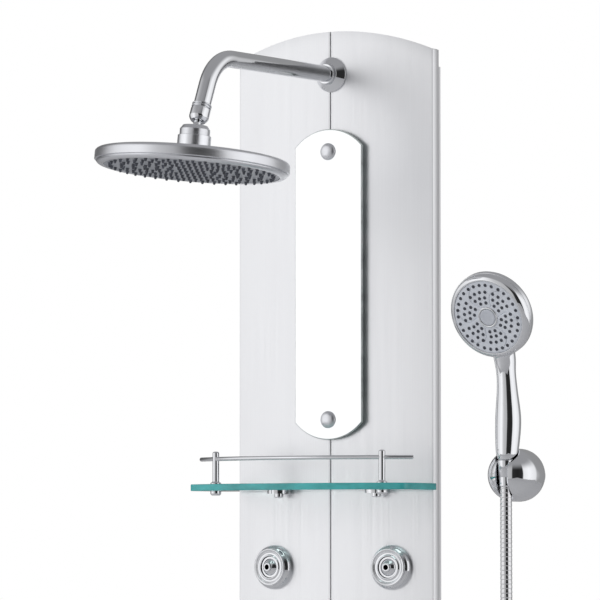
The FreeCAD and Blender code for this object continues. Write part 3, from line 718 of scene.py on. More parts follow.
def rib_rule(name, material, sizes):
    """A ribbed tube along the piece's own line of edges."""
    rule = Rule(name, sizes)
    line = rule.node("GeometryNodeMeshToCurve", {"Mesh": rule.start.outputs["Geometry"]})
    step = rule.sum("DIVIDE", rule.size("Pitch"), rule.size("Rings in a rib"))
    even = rule.node(
        "GeometryNodeResampleCurve", {"Curve": line.outputs[0], "Length": step}, mode="LENGTH"
    )
    index = rule.node("GeometryNodeInputIndex").outputs[0]
    turn = rule.sum(
        "DIVIDE", rule.sum("MULTIPLY", index, 2 * math.pi), rule.size("Rings in a rib")
    )
    wave = rule.sum(
        "POWER", rule.sum("ABSOLUTE", rule.sum("COSINE", rule.sum("MULTIPLY", turn, 0.5))), 0.7
    )
    depth = rule.sum("MULTIPLY", rule.sum("SUBTRACT", 1.0, wave), rule.size("Depth"))
    radius = rule.sum("SUBTRACT", rule.size("Radius"), depth)
    ring = rule.node(
        "GeometryNodeCurvePrimitiveCircle", {"Resolution": rule.size("Sides"), "Radius": 1.0}
    )
    skin = rule.node(
        "GeometryNodeCurveToMesh",
        {
            "Curve": even.outputs[0], "Profile Curve": ring.outputs[0], "Fill Caps": True,
            "Scale": radius
        },
    )
    rule.finish(skin.outputs[0], material)
    return rule


def grip_rule(name, material, sizes):
    """Grip ribs round a knob: the piece is one rib, repeated round the local Z axis."""
    rule = Rule(name, sizes)
    points = rule.node("GeometryNodePoints", {"Count": rule.size("Ribs")})
    index = rule.node("GeometryNodeInputIndex").outputs[0]
    angle = rule.sum("DIVIDE", rule.sum("MULTIPLY", index, 2 * math.pi), rule.size("Ribs"))
    rule.scatter(points, rule.size("Radius"), angle, material, rule.vector(0.0, 0.0, angle))
    return rule


# ---------------------------------------------------------------- settings
class ShowerSizes(bpy.types.PropertyGroup):
    """Sizes that the plain nodes leave open."""

    arch_rise: bpy.props.FloatProperty(
        name="Panel arch", description="Rise of the panel's arched ends", default=0.028,
        unit="LENGTH"
    )
    hose_pitch: bpy.props.FloatProperty(
        name="Hose rib pitch", description="Length of one rib of the hose", default=0.0053,
        unit="LENGTH"
    )
    hose_depth: bpy.props.FloatProperty(
        name="Hose rib depth", description="Depth of the groove between ribs", default=0.0004,
        unit="LENGTH"
    )
    head_rings: bpy.props.IntProperty(
        name="Rain head rings", description="Rings of nozzles round the middle one", default=7,
        min=1, max=9
    )
    head_spacing: bpy.props.FloatProperty(
        name="Rain head spacing", description="Distance between nozzle rings", default=0.0135,
        unit="LENGTH"
    )
    grip_ribs: bpy.props.IntProperty(
        name="Knob ribs", description="Grip ribs round the diverter knob", default=36, min=8,
        max=60
    )
    edge: bpy.props.FloatProperty(
        name="Eased edge", description="Rounding of sheet and glass edges", default=0.0006,
        unit="LENGTH"
    )


class ShowerColours(bpy.types.PropertyGroup):
    """Colours of the finishes a buyer could choose."""

    sheet: bpy.props.FloatVectorProperty(
        name="Panel", description="Satin panel sheet", default=(0.88, 0.885, 0.90),
        subtype="COLOR", min=0, max=1
    )
    chrome: bpy.props.FloatVectorProperty(
        name="Chrome", description="Polished plate", default=(0.83, 0.84, 0.86), subtype="COLOR",
        min=0, max=1
    )
    rain_head: bpy.props.FloatVectorProperty(
        name="Rain head", description="Satin rain head", default=(0.82, 0.83, 0.86),
        subtype="COLOR", min=0, max=1
    )
    spray_face: bpy.props.FloatVectorProperty(
        name="Spray faces", description="Moulded spray faces", default=(0.46, 0.48, 0.52),
        subtype="COLOR", min=0, max=1
    )
    nozzles: bpy.props.FloatVectorProperty(
        name="Nozzles", description="Rubber nozzles", default=(0.07, 0.075, 0.09), subtype="COLOR",
        min=0, max=1
    )
    shelf_edge: bpy.props.FloatVectorProperty(
        name="Shelf edge", description="Edge of the glass shelf", default=(0.10, 0.64, 0.64),
        subtype="COLOR", min=0, max=1
    )


def sizes():
    return bpy.context.scene.shower_sizes


def colours():
    return bpy.context.scene.shower_colours


class ShowerOperator(bpy.types.Operator):
    bl_options = {"REGISTER", "UNDO"}


# ---------------------------------------------------------------- studio
CAMERA_PLACE = Vector((3.028, -4.793, 0.032))
CAMERA_AIM = Vector((-0.038, -0.070, 0.328))
LENS_MM = 282
SENSOR_MM = 36
FLOOR_HEIGHT = -1.02
FLOOR_REACH = 4


def studio_light(name, size, power, place, towards):
    light = bpy.data.lights.new(name, "AREA")
    light.shape = "RECTANGLE"
    light.size, light.size_y = size
    light.energy = power
    lamp = bpy.data.objects.new(name, light)
    lamp.visible_glossy = False
    lamp.location = place
    lamp.rotation_euler = (Vector(towards) - Vector(place)).to_track_quat("-Z", "Y").to_euler()
    bpy.context.scene.collection.objects.link(lamp)
    return lamp


def studio_walls():
    """A white studio with dark flags standing at one side, told apart by compass direction."""
    world = bpy.data.worlds.new("studio")
    bpy.context.scene.world = world
    world.use_nodes = True
    tree = world.node_tree
    tree.nodes.clear()
    link = tree.links.new

    def node(kind, **settings):
        made = tree.nodes.new(kind)
        for name, value in settings.items():
            setattr(made, name, value)
        return made

    way = node("ShaderNodeTexCoord")
    parts = node("ShaderNodeSeparateXYZ")
    link(way.outputs["Generated"], parts.inputs["Vector"])
    turned_y = node("ShaderNodeMath", operation="MULTIPLY")
    turned_y.inputs[1].default_value = -1.0
    link(parts.outputs["Y"], turned_y.inputs[0])
    compass = node("ShaderNodeMath", operation="ARCTAN2")
    link(parts.outputs["X"], compass.inputs[0])
    link(turned_y.outputs[0], compass.inputs[1])
    share = node("ShaderNodeMapRange")
    share.inputs["From Min"].default_value = -math.pi
    share.inputs["From Max"].default_value = math.pi
    link(compass.outputs[0], share.inputs["Value"])
    walls = node("ShaderNodeValToRGB")
    stops = [
        (-180, 0.30), (-150, 0.30), (-125, 0.14), (-100, 0.10), (-88, 0.40), (-72, 0.88),
        (-50, 0.98), (-38, 1.10),
        (-29, 1.10), (-19, 0.84), (-10, 0.62), (8, 0.54), (19, 0.52), (22, 0.03), (45, 0.02),
        (68, 0.03),
        (72, 0.95), (100, 1.10), (140, 0.90), (152, 0.33), (180, 0.30),
    ]
    points = walls.color_ramp.elements
    while len(points) < len(stops):
        points.new(0.5)
    for point, (degrees, tone) in zip(points, stops):
        point.position = (degrees + 180) / 360
        point.color = (tone, tone, tone * 1.01, 1)
    link(share.outputs["Result"], walls.inputs["Fac"])
    height = node("ShaderNodeMapRange", interpolation_type="SMOOTHSTEP")
    height.inputs["From Min"].default_value = 0.35
    height.inputs["From Max"].default_value = 0.8
    link(parts.outputs["Z"], height.inputs["Value"])
    ceiling = node("ShaderNodeMix", data_type="RGBA")
    link(height.outputs["Result"], ceiling.inputs["Factor"])
    link(walls.outputs["Color"], ceiling.inputs["A"])
    ceiling.inputs["B"].default_value = (0.34, 0.34, 0.35, 1)
    ray = node("ShaderNodeLightPath")
    seen = node("ShaderNodeMix", data_type="RGBA")
    link(ray.outputs["Is Camera Ray"], seen.inputs["Factor"])
    link(ceiling.outputs["Result"], seen.inputs["A"])
    seen.inputs["B"].default_value = (1, 1, 1, 1)
    glow = node("ShaderNodeBackground")
    link(seen.outputs["Result"], glow.inputs["Color"])
    link(glow.outputs["Background"], node("ShaderNodeOutputWorld").inputs["Surface"])


class SHOWER_OT_stage(ShowerOperator):
    """Camera, floor, lights and studio walls"""

    bl_idname = "shower.stage"
    bl_label = "Studio"

    def execute(self, context):
        scene = context.scene
        lens = bpy.data.cameras.new("camera")
        lens.lens = LENS_MM
        lens.sensor_width = SENSOR_MM
        lens.clip_end = 60
        camera = bpy.data.objects.new("camera", lens)
        camera.location = CAMERA_PLACE
        camera.rotation_euler = (CAMERA_AIM - camera.location).to_track_quat("-Z", "Y").to_euler()
        scene.collection.objects.link(camera)
        scene.camera = camera
        ways = [(-1, -1), (1, -1), (1, 1), (-1, 1)]
        corners = [(FLOOR_REACH * x, FLOOR_REACH * y, FLOOR_HEIGHT) for x, y in ways]
        floor = new_piece("floor", corners, [[0, 1, 2, 3]])
        pale = bpy.data.materials.new("pale_floor")
        pale.use_nodes = True
        pale.node_tree.nodes["Principled BSDF"].inputs["Base Color"].default_value = (
            0.86, 0.86, 0.87, 1
        )
        pale.node_tree.nodes["Principled BSDF"].inputs["Roughness"].default_value = 0.7
        floor.data.materials.append(pale)
        studio_light("soft_left", (1.6, 2.6), 18, (-2.6, -2.2, 0.8), (0, -0.1, 0.1))
        studio_light("soft_top", (2.0, 1.4), 12, (0.3, -1.6, 2.6), (0, -0.1, 0.2))
        studio_walls()
        scene.view_settings.view_transform = "Standard"
        return {"FINISHED"}


# ---------------------------------------------------------------- hose
HOSE_ROUTE = [
    (0.000, -0.087, -0.526),
    (0.000, -0.087, -0.584),
    (0.003, -0.092, -0.674),
    (0.014, -0.096, -0.772),
    (0.044, -0.097, -0.852),
    (0.098, -0.094, -0.904),
    (0.168, -0.089, -0.900),
    (0.218, -0.085, -0.842),
    (0.240, -0.079, -0.750),
    (0.248, -0.074, -0.622),
    (0.250, -0.071, -0.474),
    (0.249, -0.068, -0.306),
    (0.246, -0.066, -0.130),
    (0.245, -0.065, 0.014),
    (0.245, -0.065, 0.102),
]
HOSE_RADIUS = 0.007


def hose_line():
    """The hose's smooth centre line, as points read from its spline."""
    curve = bpy.data.curves.new("hose_line", "CURVE")
    curve.dimensions = "3D"
    curve.resolution_u = 16
    spline = curve.splines.new("NURBS")
    spline.points.add(len(HOSE_ROUTE) - 1)
    for point, place in zip(spline.points, HOSE_ROUTE):
        point.co = (*place, 1)
    spline.order_u = 3
    spline.use_endpoint_u = True
    holder = bpy.data.objects.new("hose_line", curve)
    bpy.context.scene.collection.objects.link(holder)
    line = evaluated_mesh(holder)
    bpy.data.objects.remove(holder)
    return line


class SHOWER_OT_hose(ShowerOperator):
    """Ribbed metal hose from the outlet to the hand shower"""

    bl_idname = "shower.hose"
    bl_label = "Hose"

    def execute(self, context):
        line = hose_line()
        hose = bpy.data.objects.new("ribbed_hose", line)
        context.scene.collection.objects.link(hose)
        ribs = {
            "Radius": HOSE_RADIUS, "Pitch": sizes().hose_pitch, "Depth": sizes().hose_depth,
            "Rings in a rib": 6, "Sides": 20,
        }
        rib_rule("hose_ribs", FINISHES["hose"], ribs).grow(hose)
        tidy_mesh(hose, 60)
        hose.data.materials.clear()
        hose.data.materials.append(FINISHES["hose"])
        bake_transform(hose)
        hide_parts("hose")
        return {"FINISHED"}


# ---------------------------------------------------------------- bowed panel
def jet_place(name):
    """Where a jet stands on the panel's face, and the way it points."""
    radius, centre_y, _, _ = bow_of_panel()
    ball = pivot("jet_tilt_" + name)
    out = Vector((ball.x, ball.y - centre_y, 0)).normalized()
    return Vector((0, centre_y, ball.z)) + out * radius, out


JETS = ("upper_left", "upper_right", "lower_left", "lower_right")


def panel_bores():
    """Holes through the panel, as (start, end, radius)."""
    bores = []
    for node, radius in (("arm_flange", 10.2), ("diverter_flange", 12.2), ("mixer_flange", 18.2)):
        centre = middle(node)
        bores.append((Vector((0, 0, centre.z)), Vector((0, -0.1, centre.z)), radius * MM))
    outlet = middle("outlet_hose_nut").z + 19 * MM
    bores.append((Vector((0, 0, outlet)), Vector((0, -0.1, outlet)), 10.2 * MM))
    for name in JETS:
        origin, out = jet_place(name)
        bores.append((origin - out * 0.02, origin + out * 0.02, 16.3 * MM))
    return bores


def half_panel(name, side):
    """One bowed half of the panel, from the middle groove to its folded outer edge."""
    radius, centre_y, half, sheet = bow_of_panel()
    top = high("panel_right").z
    near = low("panel_right").x
    fold_y = high("panel_right").y
    inner = half - sheet
    arch = (half ** 2 + sizes().arch_rise ** 2) / (2 * sizes().arch_rise)
    columns = 40
    across = [near + (inner - near) * i / columns for i in range(columns + 1)]
    front = [(x, centre_y - math.sqrt(radius ** 2 - x ** 2)) for x in across + [half]]
    behind = [(x, centre_y - math.sqrt((radius - sheet) ** 2 - x ** 2)) for x in reversed(across)]
    outline = front + [(half, fold_y), (inner, fold_y)] + behind
    count = len(outline)
    rows = 60
    vertices = []
    faces = []
    for i, (x, y) in enumerate(outline):
        z = top - arch + math.sqrt(arch ** 2 - x ** 2)
        vertices += [(side * x, y, z * (2 * j / rows - 1)) for j in range(rows + 1)]
        here = i * (rows + 1)
        on = (i + 1) % count * (rows + 1)
        faces += [[here + j, on + j, on + j + 1, here + j + 1] for j in range(rows)]
    for end in (0, rows):
        for i in range(columns):
            rear = count - 1 - i
            faces.append([(rows + 1) * k + end for k in (i, i + 1, rear - 1, rear)])
        faces.append([(rows + 1) * k + end for k in range(columns, columns + 5)])
    piece = drill(tidy_mesh(new_piece(name, vertices, faces)), panel_bores())
    ease = piece.modifiers.new("ease", "BEVEL")
    ease.width = sizes().edge
    ease.segments = 2
    ease.limit_method = "ANGLE"
    ease.angle_limit = math.radians(50)
    return tidy_mesh(bake(piece), 40)


class SHOWER_OT_panel(ShowerOperator):
    """Bowed satin panel in two halves, its joint strip and its frame"""

    bl_idname = "shower.panel"
    bl_label = "Panel"

    def execute(self, context):
        for name, side in (("panel_left", -1), ("panel_right", 1)):
            fit(half_panel(name + "_sheet", side), BODY, FINISHES["sheet"], [name])
        for node in ("side_rail_left", "side_rail_right", "frame_spreaders"):
            finish_node(node, FINISHES["frame"])
        finish_node("centre_strip", FINISHES["sheet"])
        for node in ("wall_hangers", "hook_bars"):
            finish_node(node, FINISHES["zinc"])
        for node in (
            "riser_pipe", "jet_feed_pipe", "handset_feed_pipe", "mixer_valve", "inlet_nuts"
        ):
            finish_node(node, FINISHES["brass"])
        for node in ("diverter_valve", "arm_lock_nut", "jet_lock_nuts"):
            finish_node(node, FINISHES["brass"])
        return {"FINISHED"}


# ---------------------------------------------------------------- overhead arm and rain head
def arm_points():
    """The arm's centre line: level from the wall, one bend, then down to the ball."""
    ball = pivot("head_tilt")
    level = middle("arm_flange").z
    lean = math.radians(23.6)
    down = Vector((0, -math.sin(lean), -math.cos(lean)))
    corner = ball - down * ((level - ball.z) / math.cos(lean))
    bend = 55 * MM
    turn = math.pi / 2 - lean
    setback = bend * math.tan(turn / 2)
    start = corner - FRONT * setback
    centre = start - UP * bend
    wall_end = -48 * MM
    points = [Vector((0, wall_end + (start.y - wall_end) * i / 4, level)) for i in range(5)]
    for i in range(1, 25):
        angle = turn * i / 24
        points.append(centre + Vector((0, -math.sin(angle), math.cos(angle))) * bend)
    points.append(ball - down * 28 * MM)
    return points, down, ball


class SHOWER_OT_arm(ShowerOperator):
    """Overhead arm with its wall flange, rings and coupling nut"""

    bl_idname = "shower.arm"
    bl_label = "Overhead arm"

    def execute(self, context):
        chrome = FINISHES["chrome"]
        points, down, ball = arm_points()
        fit(tube("arm_tube", points, 10 * MM, 64), BODY, chrome, ["shower_arm"])
        at_panel = Vector((0, high("arm_flange").y, points[0].z))
        flange = [
            (10, 0), (21, 0, 0.3), (21, 1.8, 0.6), (13.2, 9, 0.6), (12.6, 9.7, 0.3),
            (12.6, 14.4, 0.5)
        ]
        flange += [(11.6, 15, 0.4), (10, 15)]
        fit(
            lathe("wall_flange", flange, at_panel, FRONT, 128), BODY, chrome,
            ["arm_flange"]
        )
        rings = [(10, -0.9), (11.1, -0.9, 0.4), (11.6, 0, 0.5), (11.1, 0.9, 0.4), (10, 0.9)]
        places = [(ball - down * distance * MM, -down) for distance in (33.4, 36.4)]
        fit(lathes("arm_beads", rings, places, 96), BODY, chrome, ["arm_rings"])
        nut = [
            (5.2, 15.5), (8.6, 15.5, 0.6), (11, 19, 1.5), (11.5, 20.5, 0.6), (11.5, 30.6, 0.6),
            (10.9, 31.5, 0.5)
        ]
        nut += [(10, 31.5), (10, 28), (5.2, 28)]
        fit(lathe("union_nut", nut, ball, -down), BODY, chrome, ["coupling_nut"])
        neck = 4.5
        stud = [(0, -11)]
        for i in range(1, 20):
            angle = math.radians(-90 + i * (90 + 64.5) / 19)
            stud.append((11 * math.cos(angle), 11 * math.sin(angle)))
        stud += [(neck, 11), (neck, 18), (7.9, 18), (7.9, 27.9), (0, 27.9)]
        fit(lathe("swivel_ball", stud, ball, -down), BODY, chrome, ["ball_stud"])
        return {"FINISHED"}


def arc_profile(radius, start, end, steps):
    """Corners of a circular arc in a profile, by angles up from the plane of the circle."""
    turns = [math.radians(start + (end - start) * i / steps) for i in range(steps + 1)]
    return [(radius * math.cos(turn), radius * math.sin(turn)) for turn in turns]


class SHOWER_OT_rain_head(ShowerOperator):
    """Round satin rain head with its swivel collar, socket and rubber nozzles"""

    bl_idname = "shower.rain_head"
    bl_label = "Rain head"

    def execute(self, context):
        ball = pivot("head_tilt")
        up = (ball - middle("head_face")).normalized()
        satin = FINISHES["head"]
        cup = arc_profile(14, 34, -75, 16) + arc_profile(11.3, -71.5, 34, 16)
        fit(
            lathe("swivel_cup", cup, ball, up), "head_cup", FINISHES["face"],
            ["head_cup"]
        )
        collar = arc_profile(14.3, -12.1, 39, 8) + [(14.2, 9, 0.3), (17.5, 4.4, 0.3), (17.5, -3)]
        fit(
            lathe("swivel_collar", collar, ball, up), "rain_head", satin,
            ["head_collar"]
        )
        socket = arc_profile(14.3, -73, -12.1, 10) + [(19.3, -3, 0.5), (19.3, -25.6), (4.2, -25.6)]
        body = lathe("swivel_socket", socket, ball, up)
        fit(body, "rain_head", FINISHES["socket"], ["head_socket"])
        shell = [
            (4, -25.5), (20, -25.5, 1), (22, -26.1, 1), (108.5, -26.1, 2), (112.5, -28.6, 3),
            (112.5, -38.8, 0.7)
        ]
        shell += [
            (111.8, -39.4, 0.3), (109.4, -39.6), (109.4, -40.4), (110.4, -40.6, 0.4),
            (109.6, -42, 1)
        ]
        shell += [
            (107.5, -43.4, 1.2), (104.4, -43.9, 0.8), (101.4, -43.9, 0.5), (101.2, -42.2),
            (101.2, -40.6)
        ]
        shell += [(109.5, -36.5), (109.5, -28.6), (4, -28.6)]
        fit(
            lathe("head_pan", shell, ball, up, 192), "rain_head", satin,
            ["head_shell"]
        )
        plate = [
            (0, -42.9), (7, -42.9, 1), (8, -42.6, 1), (97.5, -42.6, 1), (98.5, -43.2, 0.5),
            (101, -43.2)
        ]
        plate += [(101, -40.6), (0, -40.6)]
        face = lathe("spray_plate", plate, ball, up, 192)
        fit(face, "rain_head", FINISHES["face"], ["head_face"])
        nozzle = [
            (0, -1.2), (2.6, -1.2), (2.6, 0), (2.0, 0.4), (1.35, 3.4), (1.0, 3.9), (0.6, 3.9),
            (0.55, 2.6), (0, 2.6)
        ]
        tip = lathe("head_nozzles", nozzle, Vector((0, 0, 0)), UP, 14)
        rings = {"Rings": sizes().head_rings, "Spacing": sizes().head_spacing, "Twist": 0.0}
        spray_rule("head_nozzle_rings", FINISHES["rubber"], rings).grow(tip)
        tip.data.transform(frame_at(ball - up * 42.6 * MM, -up))
        fit(tidy_mesh(tip), "rain_head", FINISHES["rubber"])
        return {"FINISHED"}


# ---------------------------------------------------------------- mirror
def arched_outline(half, low_z, high_z, rise, steps=32):
    """An upright plate with arched ends, as points in the plane of the wall."""
    top = arc_points(
        Vector((half, 0, high_z - rise)), Vector((0, 0, high_z)),
        Vector((-half, 0, high_z - rise)), steps
    )
    foot = arc_points(
        Vector((-half, 0, low_z + rise)), Vector((0, 0, low_z)), Vector((half, 0, low_z + rise)),
        steps
    )
    return top + foot


def paint_faces(piece, way, front, rest):
    """Two finishes on one piece: one on the flat faces that look along a way, one on the rest."""
    piece.data.materials.clear()
    piece.data.materials.append(front)
    piece.data.materials.append(rest)
    for face in piece.data.polygons:
        face.material_index = 0 if way(face.normal) else 1
        face.use_smooth = not way(face.normal)


class SHOWER_OT_mirror(ShowerOperator):
    """Arched mirror on two studs with domed caps"""

    bl_idname = "shower.mirror"
    bl_label = "Mirror"

    def execute(self, context):
        below = low("mirror_glass")
        above = high("mirror_glass")
        outline = arched_outline(above.x, below.z, above.z, 20.7 * MM)
        depth = Vector((0, below.y - above.y, 0))
        glass = slab("mirror_pane", outline, Vector((0, above.y, 0)), depth, edge=0.0011, levels=2)
        heights = (below.z + 24 * MM, above.z - 27 * MM)
        bores = [(Vector((0, 0, z)), Vector((0, -0.1, z)), 4.2 * MM) for z in heights]
        drill(glass, bores)
        tidy_mesh(glass, 25)
        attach(glass, BODY)
        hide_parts("mirror_glass")
        paint_faces(glass, lambda n: n.y < -0.98, FINISHES["mirror"], FINISHES["mirror_edge"])
        cap = [(0, 0), (10.25, 0), (10.25, 1.1, 0.5)] + [
            (9.1, 2.6, 1), (6.5, 4.1, 2), (3, 4.8, 2), (0, 4.8)
        ]
        places = [(Vector((0, below.y, z)), FRONT) for z in heights]
        caps = lathes("mirror_domes", cap, places, 96)
        fit(caps, BODY, FINISHES["head"], ["mirror_caps"])
        finish_node("mirror_studs", FINISHES["chrome"])
        return {"FINISHED"}


# ---------------------------------------------------------------- glass shelf
def round_corner(before, corner, after, radius, steps=10):
    """Points of a fillet at a corner of an outline."""
    back = (before - corner).normalized()
    on = (after - corner).normalized()
    half = back.angle(on) / 2
    setback = radius / math.tan(half)
    centre = corner + (back + on).normalized() * radius / math.sin(half)
    start = corner + back * setback
    end = corner + on * setback
    middle_point = centre + (corner - centre).normalized() * radius
    return arc_points(start, middle_point, end, steps)


def shelf_outline():
    """The shelf from above: straight back, bowed front, rounded corners."""
    wide = high("shelf_glass").x
    back = high("shelf_glass").y
    front = low("shelf_glass").y
    corner = -0.138
    bend = arc_points(
        Vector((-wide, corner, 0)), Vector((0, front, 0)), Vector((wide, corner, 0)), 64
    )
    radius = 13 * MM
    outline = round_corner(
        Vector((wide, back, 0)), Vector((-wide, back, 0)), Vector((-wide, corner, 0)), radius
    )
    outline += round_corner(Vector((-wide, back, 0)), Vector((-wide, corner, 0)), bend[6], radius)
    inner = [p for p in bend if abs(p.x) < wide - radius * 1.05]
    outline += inner
    outline += round_corner(bend[-7], Vector((wide, corner, 0)), Vector((wide, back, 0)), radius)
    outline += round_corner(
        Vector((wide, corner, 0)), Vector((wide, back, 0)), Vector((-wide, back, 0)), radius
    )
    return outline


class SHOWER_OT_shelf(ShowerOperator):
    """Glass shelf on clips, with posts and a bowed guard rail"""

    bl_idname = "shower.shelf"
    bl_label = "Glass shelf"

    def execute(self, context):
        chrome = FINISHES["chrome"]
        foot = low("shelf_glass").z
        thick = high("shelf_glass").z - foot
        glass = slab("shelf_pane", shelf_outline(), Vector((0, 0, foot)), UP * thick, edge=0.0009)
        post_x = 117 * MM
        posts = [Vector((x, -0.133, 0)) for x in (-post_x, post_x)]
        clips = [Vector((x, -0.069, 0)) for x in (-69 * MM, 69 * MM)]
        bores = [(at + UP * 0.05, at + UP * 0.2, 3.3 * MM) for at in posts]
        bores += [(at + UP * (foot - 0.01), at + UP * (foot + 0.0046), 2.2 * MM) for at in clips]
        drill(glass, bores)
        tidy_mesh(glass, 25)
        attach(glass, BODY)
        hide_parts("shelf_glass")
        paint_faces(glass, lambda n: abs(n.z) > 0.98, FINISHES["glass"], FINISHES["glass_edge"])
        top = (high("rail_posts").z - foot) / MM
        seat = thick / MM
        post = [
            (0, -4), (2.9, -4), (2.9, seat), (6.5, seat, 0.3), (6.5, seat + 1.4, 0.6),
            (4.2, seat + 2.8, 0.8)
        ]
        post += [
            (4, seat + 4), (4, top - 1.8, 0.5), (3.3, top - 0.6, 0.8), (1.5, top, 0.8), (0, top)
        ]
        places = [(at + UP * foot, UP) for at in posts]
        fit(
            lathes("rail_pillars", post, places, 64), BODY, chrome, ["rail_posts"]
        )
        nut = [
            (0, -5.5), (5, -5.5, 0.8), (6.5, -3.6, 0.8), (6.5, 0, 0.2), (2.9, 0), (2.9, -4),
            (0, -4)
        ]
        fit(lathes("pillar_nuts", nut, places, 64), BODY, chrome, ["post_nuts"])
        rail_low = low("guard_rail")
        rail_high = high("guard_rail")
        end_y = rail_high.y - 2 * MM
        height = (rail_low.z + rail_high.z) / 2
        wide = 149.8 * MM
        line = arc_points(
            Vector((-wide, end_y, height)), Vector((0, -0.160, height)),
            Vector((wide, end_y, height)), 72
        )
        for i, piece_end in ((0, line[0] - line[1]), (-1, line[-1] - line[-2])):
            tip = line[i]
            line[i] = tip - piece_end.normalized() * 0.8 * MM
            line.insert(0 if i == 0 else len(line), tip)
        radii = [1.7 * MM] + [2.5 * MM] * (len(line) - 2) + [1.7 * MM]
        fit(tube("guard_bar", line, radii, 32, UP), BODY, chrome, ["guard_rail"])
        finish_node("shelf_clips", chrome)
        screw = [(0, -8), (3, -8), (3, -7), (4.6, -7.9, 0.5), (5.5, -7.2, 0.6), (5.5, -3), (0, -3)]
        places = [(at + UP * foot, UP) for at in clips]
        screws = lathes("clip_screws", screw, places, 48)
        fit(screws, BODY, chrome, ["shelf_screws"])
        return {"FINISHED"}


# ---------------------------------------------------------------- body jets
class SHOWER_OT_jets(ShowerOperator):
    """Four swivelling body jets with their dished rings"""

    bl_idname = "shower.jets"
    bl_label = "Body jets"

    def execute(self, context):
        chrome = FINISHES["chrome"]
        ring = [
            (16.3, -0.5), (27, -0.5), (27, 1.2, 0.4), (26.6, 4.2, 1.5), (25.2, 7.4, 1.5),
            (22.9, 9.3, 0.8)
        ]
        ring += [(22.6, 9.6), (16.3, 9.6)]
        places = [jet_place(name) for name in JETS]
        fit(lathes("jet_covers", ring, places, 112), BODY, chrome, ["jet_rings"])
        mouth = 13.0
        cavity = 14.5
        mouth_low = 3 + math.sqrt(cavity ** 2 - mouth ** 2)
        bezel = [
            (mouth, mouth_low), (mouth, 11.7, 0.3), (13.9, 11.9, 0.3), (15.2, 10.7, 0.8),
            (17.4, 10.6, 0.8)
        ]
        bezel += [
            (18.3, 11.2, 0.2), (18.7, 10.9, 0.2), (19.1, 11.3, 0.2), (21.3, 12.2, 0.9),
            (22.5, 11.4, 0.4)
        ]
        bezel += [
            (22.5, 9.6), (16.1, 9.6), (16.1, -13.5), (9, -13.5), (9, -26), (6, -26), (6, -10.2)
        ]
        turns = [math.radians(-60 + i * (60 + 26) / 14) for i in range(15)]
        bezel += [(cavity * math.cos(turn), 3 + cavity * math.sin(turn)) for turn in turns]
        fit(lathes("jet_faces", bezel, places, 112), BODY, chrome, ["jet_bezels"])
        for name, (origin, out) in zip(JETS, places):
            centre = pivot("jet_tilt_" + name)
            liner = arc_profile(12.3, -60.8, 34.7, 12) + [(12.36, 7, 0.2)] + arc_profile(
                14.2, 29.5, -65, 12
            )
            cup = lathe("jet_liner_" + name, liner, centre, out)
            fit(cup, "jet_socket_" + name, chrome, ["jet_socket_" + name])
            nozzle = arc_profile(12, -77.5, 62.7, 20) + [
                (5.5, 12.7, 0.4), (4.6, 13.4, 0.3), (3.2, 13.4, 0.2)
            ]
            nozzle += [(2.9, 9), (2.6, -11.7)]
            spout = lathe("jet_ball_" + name, nozzle, centre, out)
            fit(spout, "jet_nozzle_" + name, chrome, ["jet_nozzle_" + name])
        return {"FINISHED"}


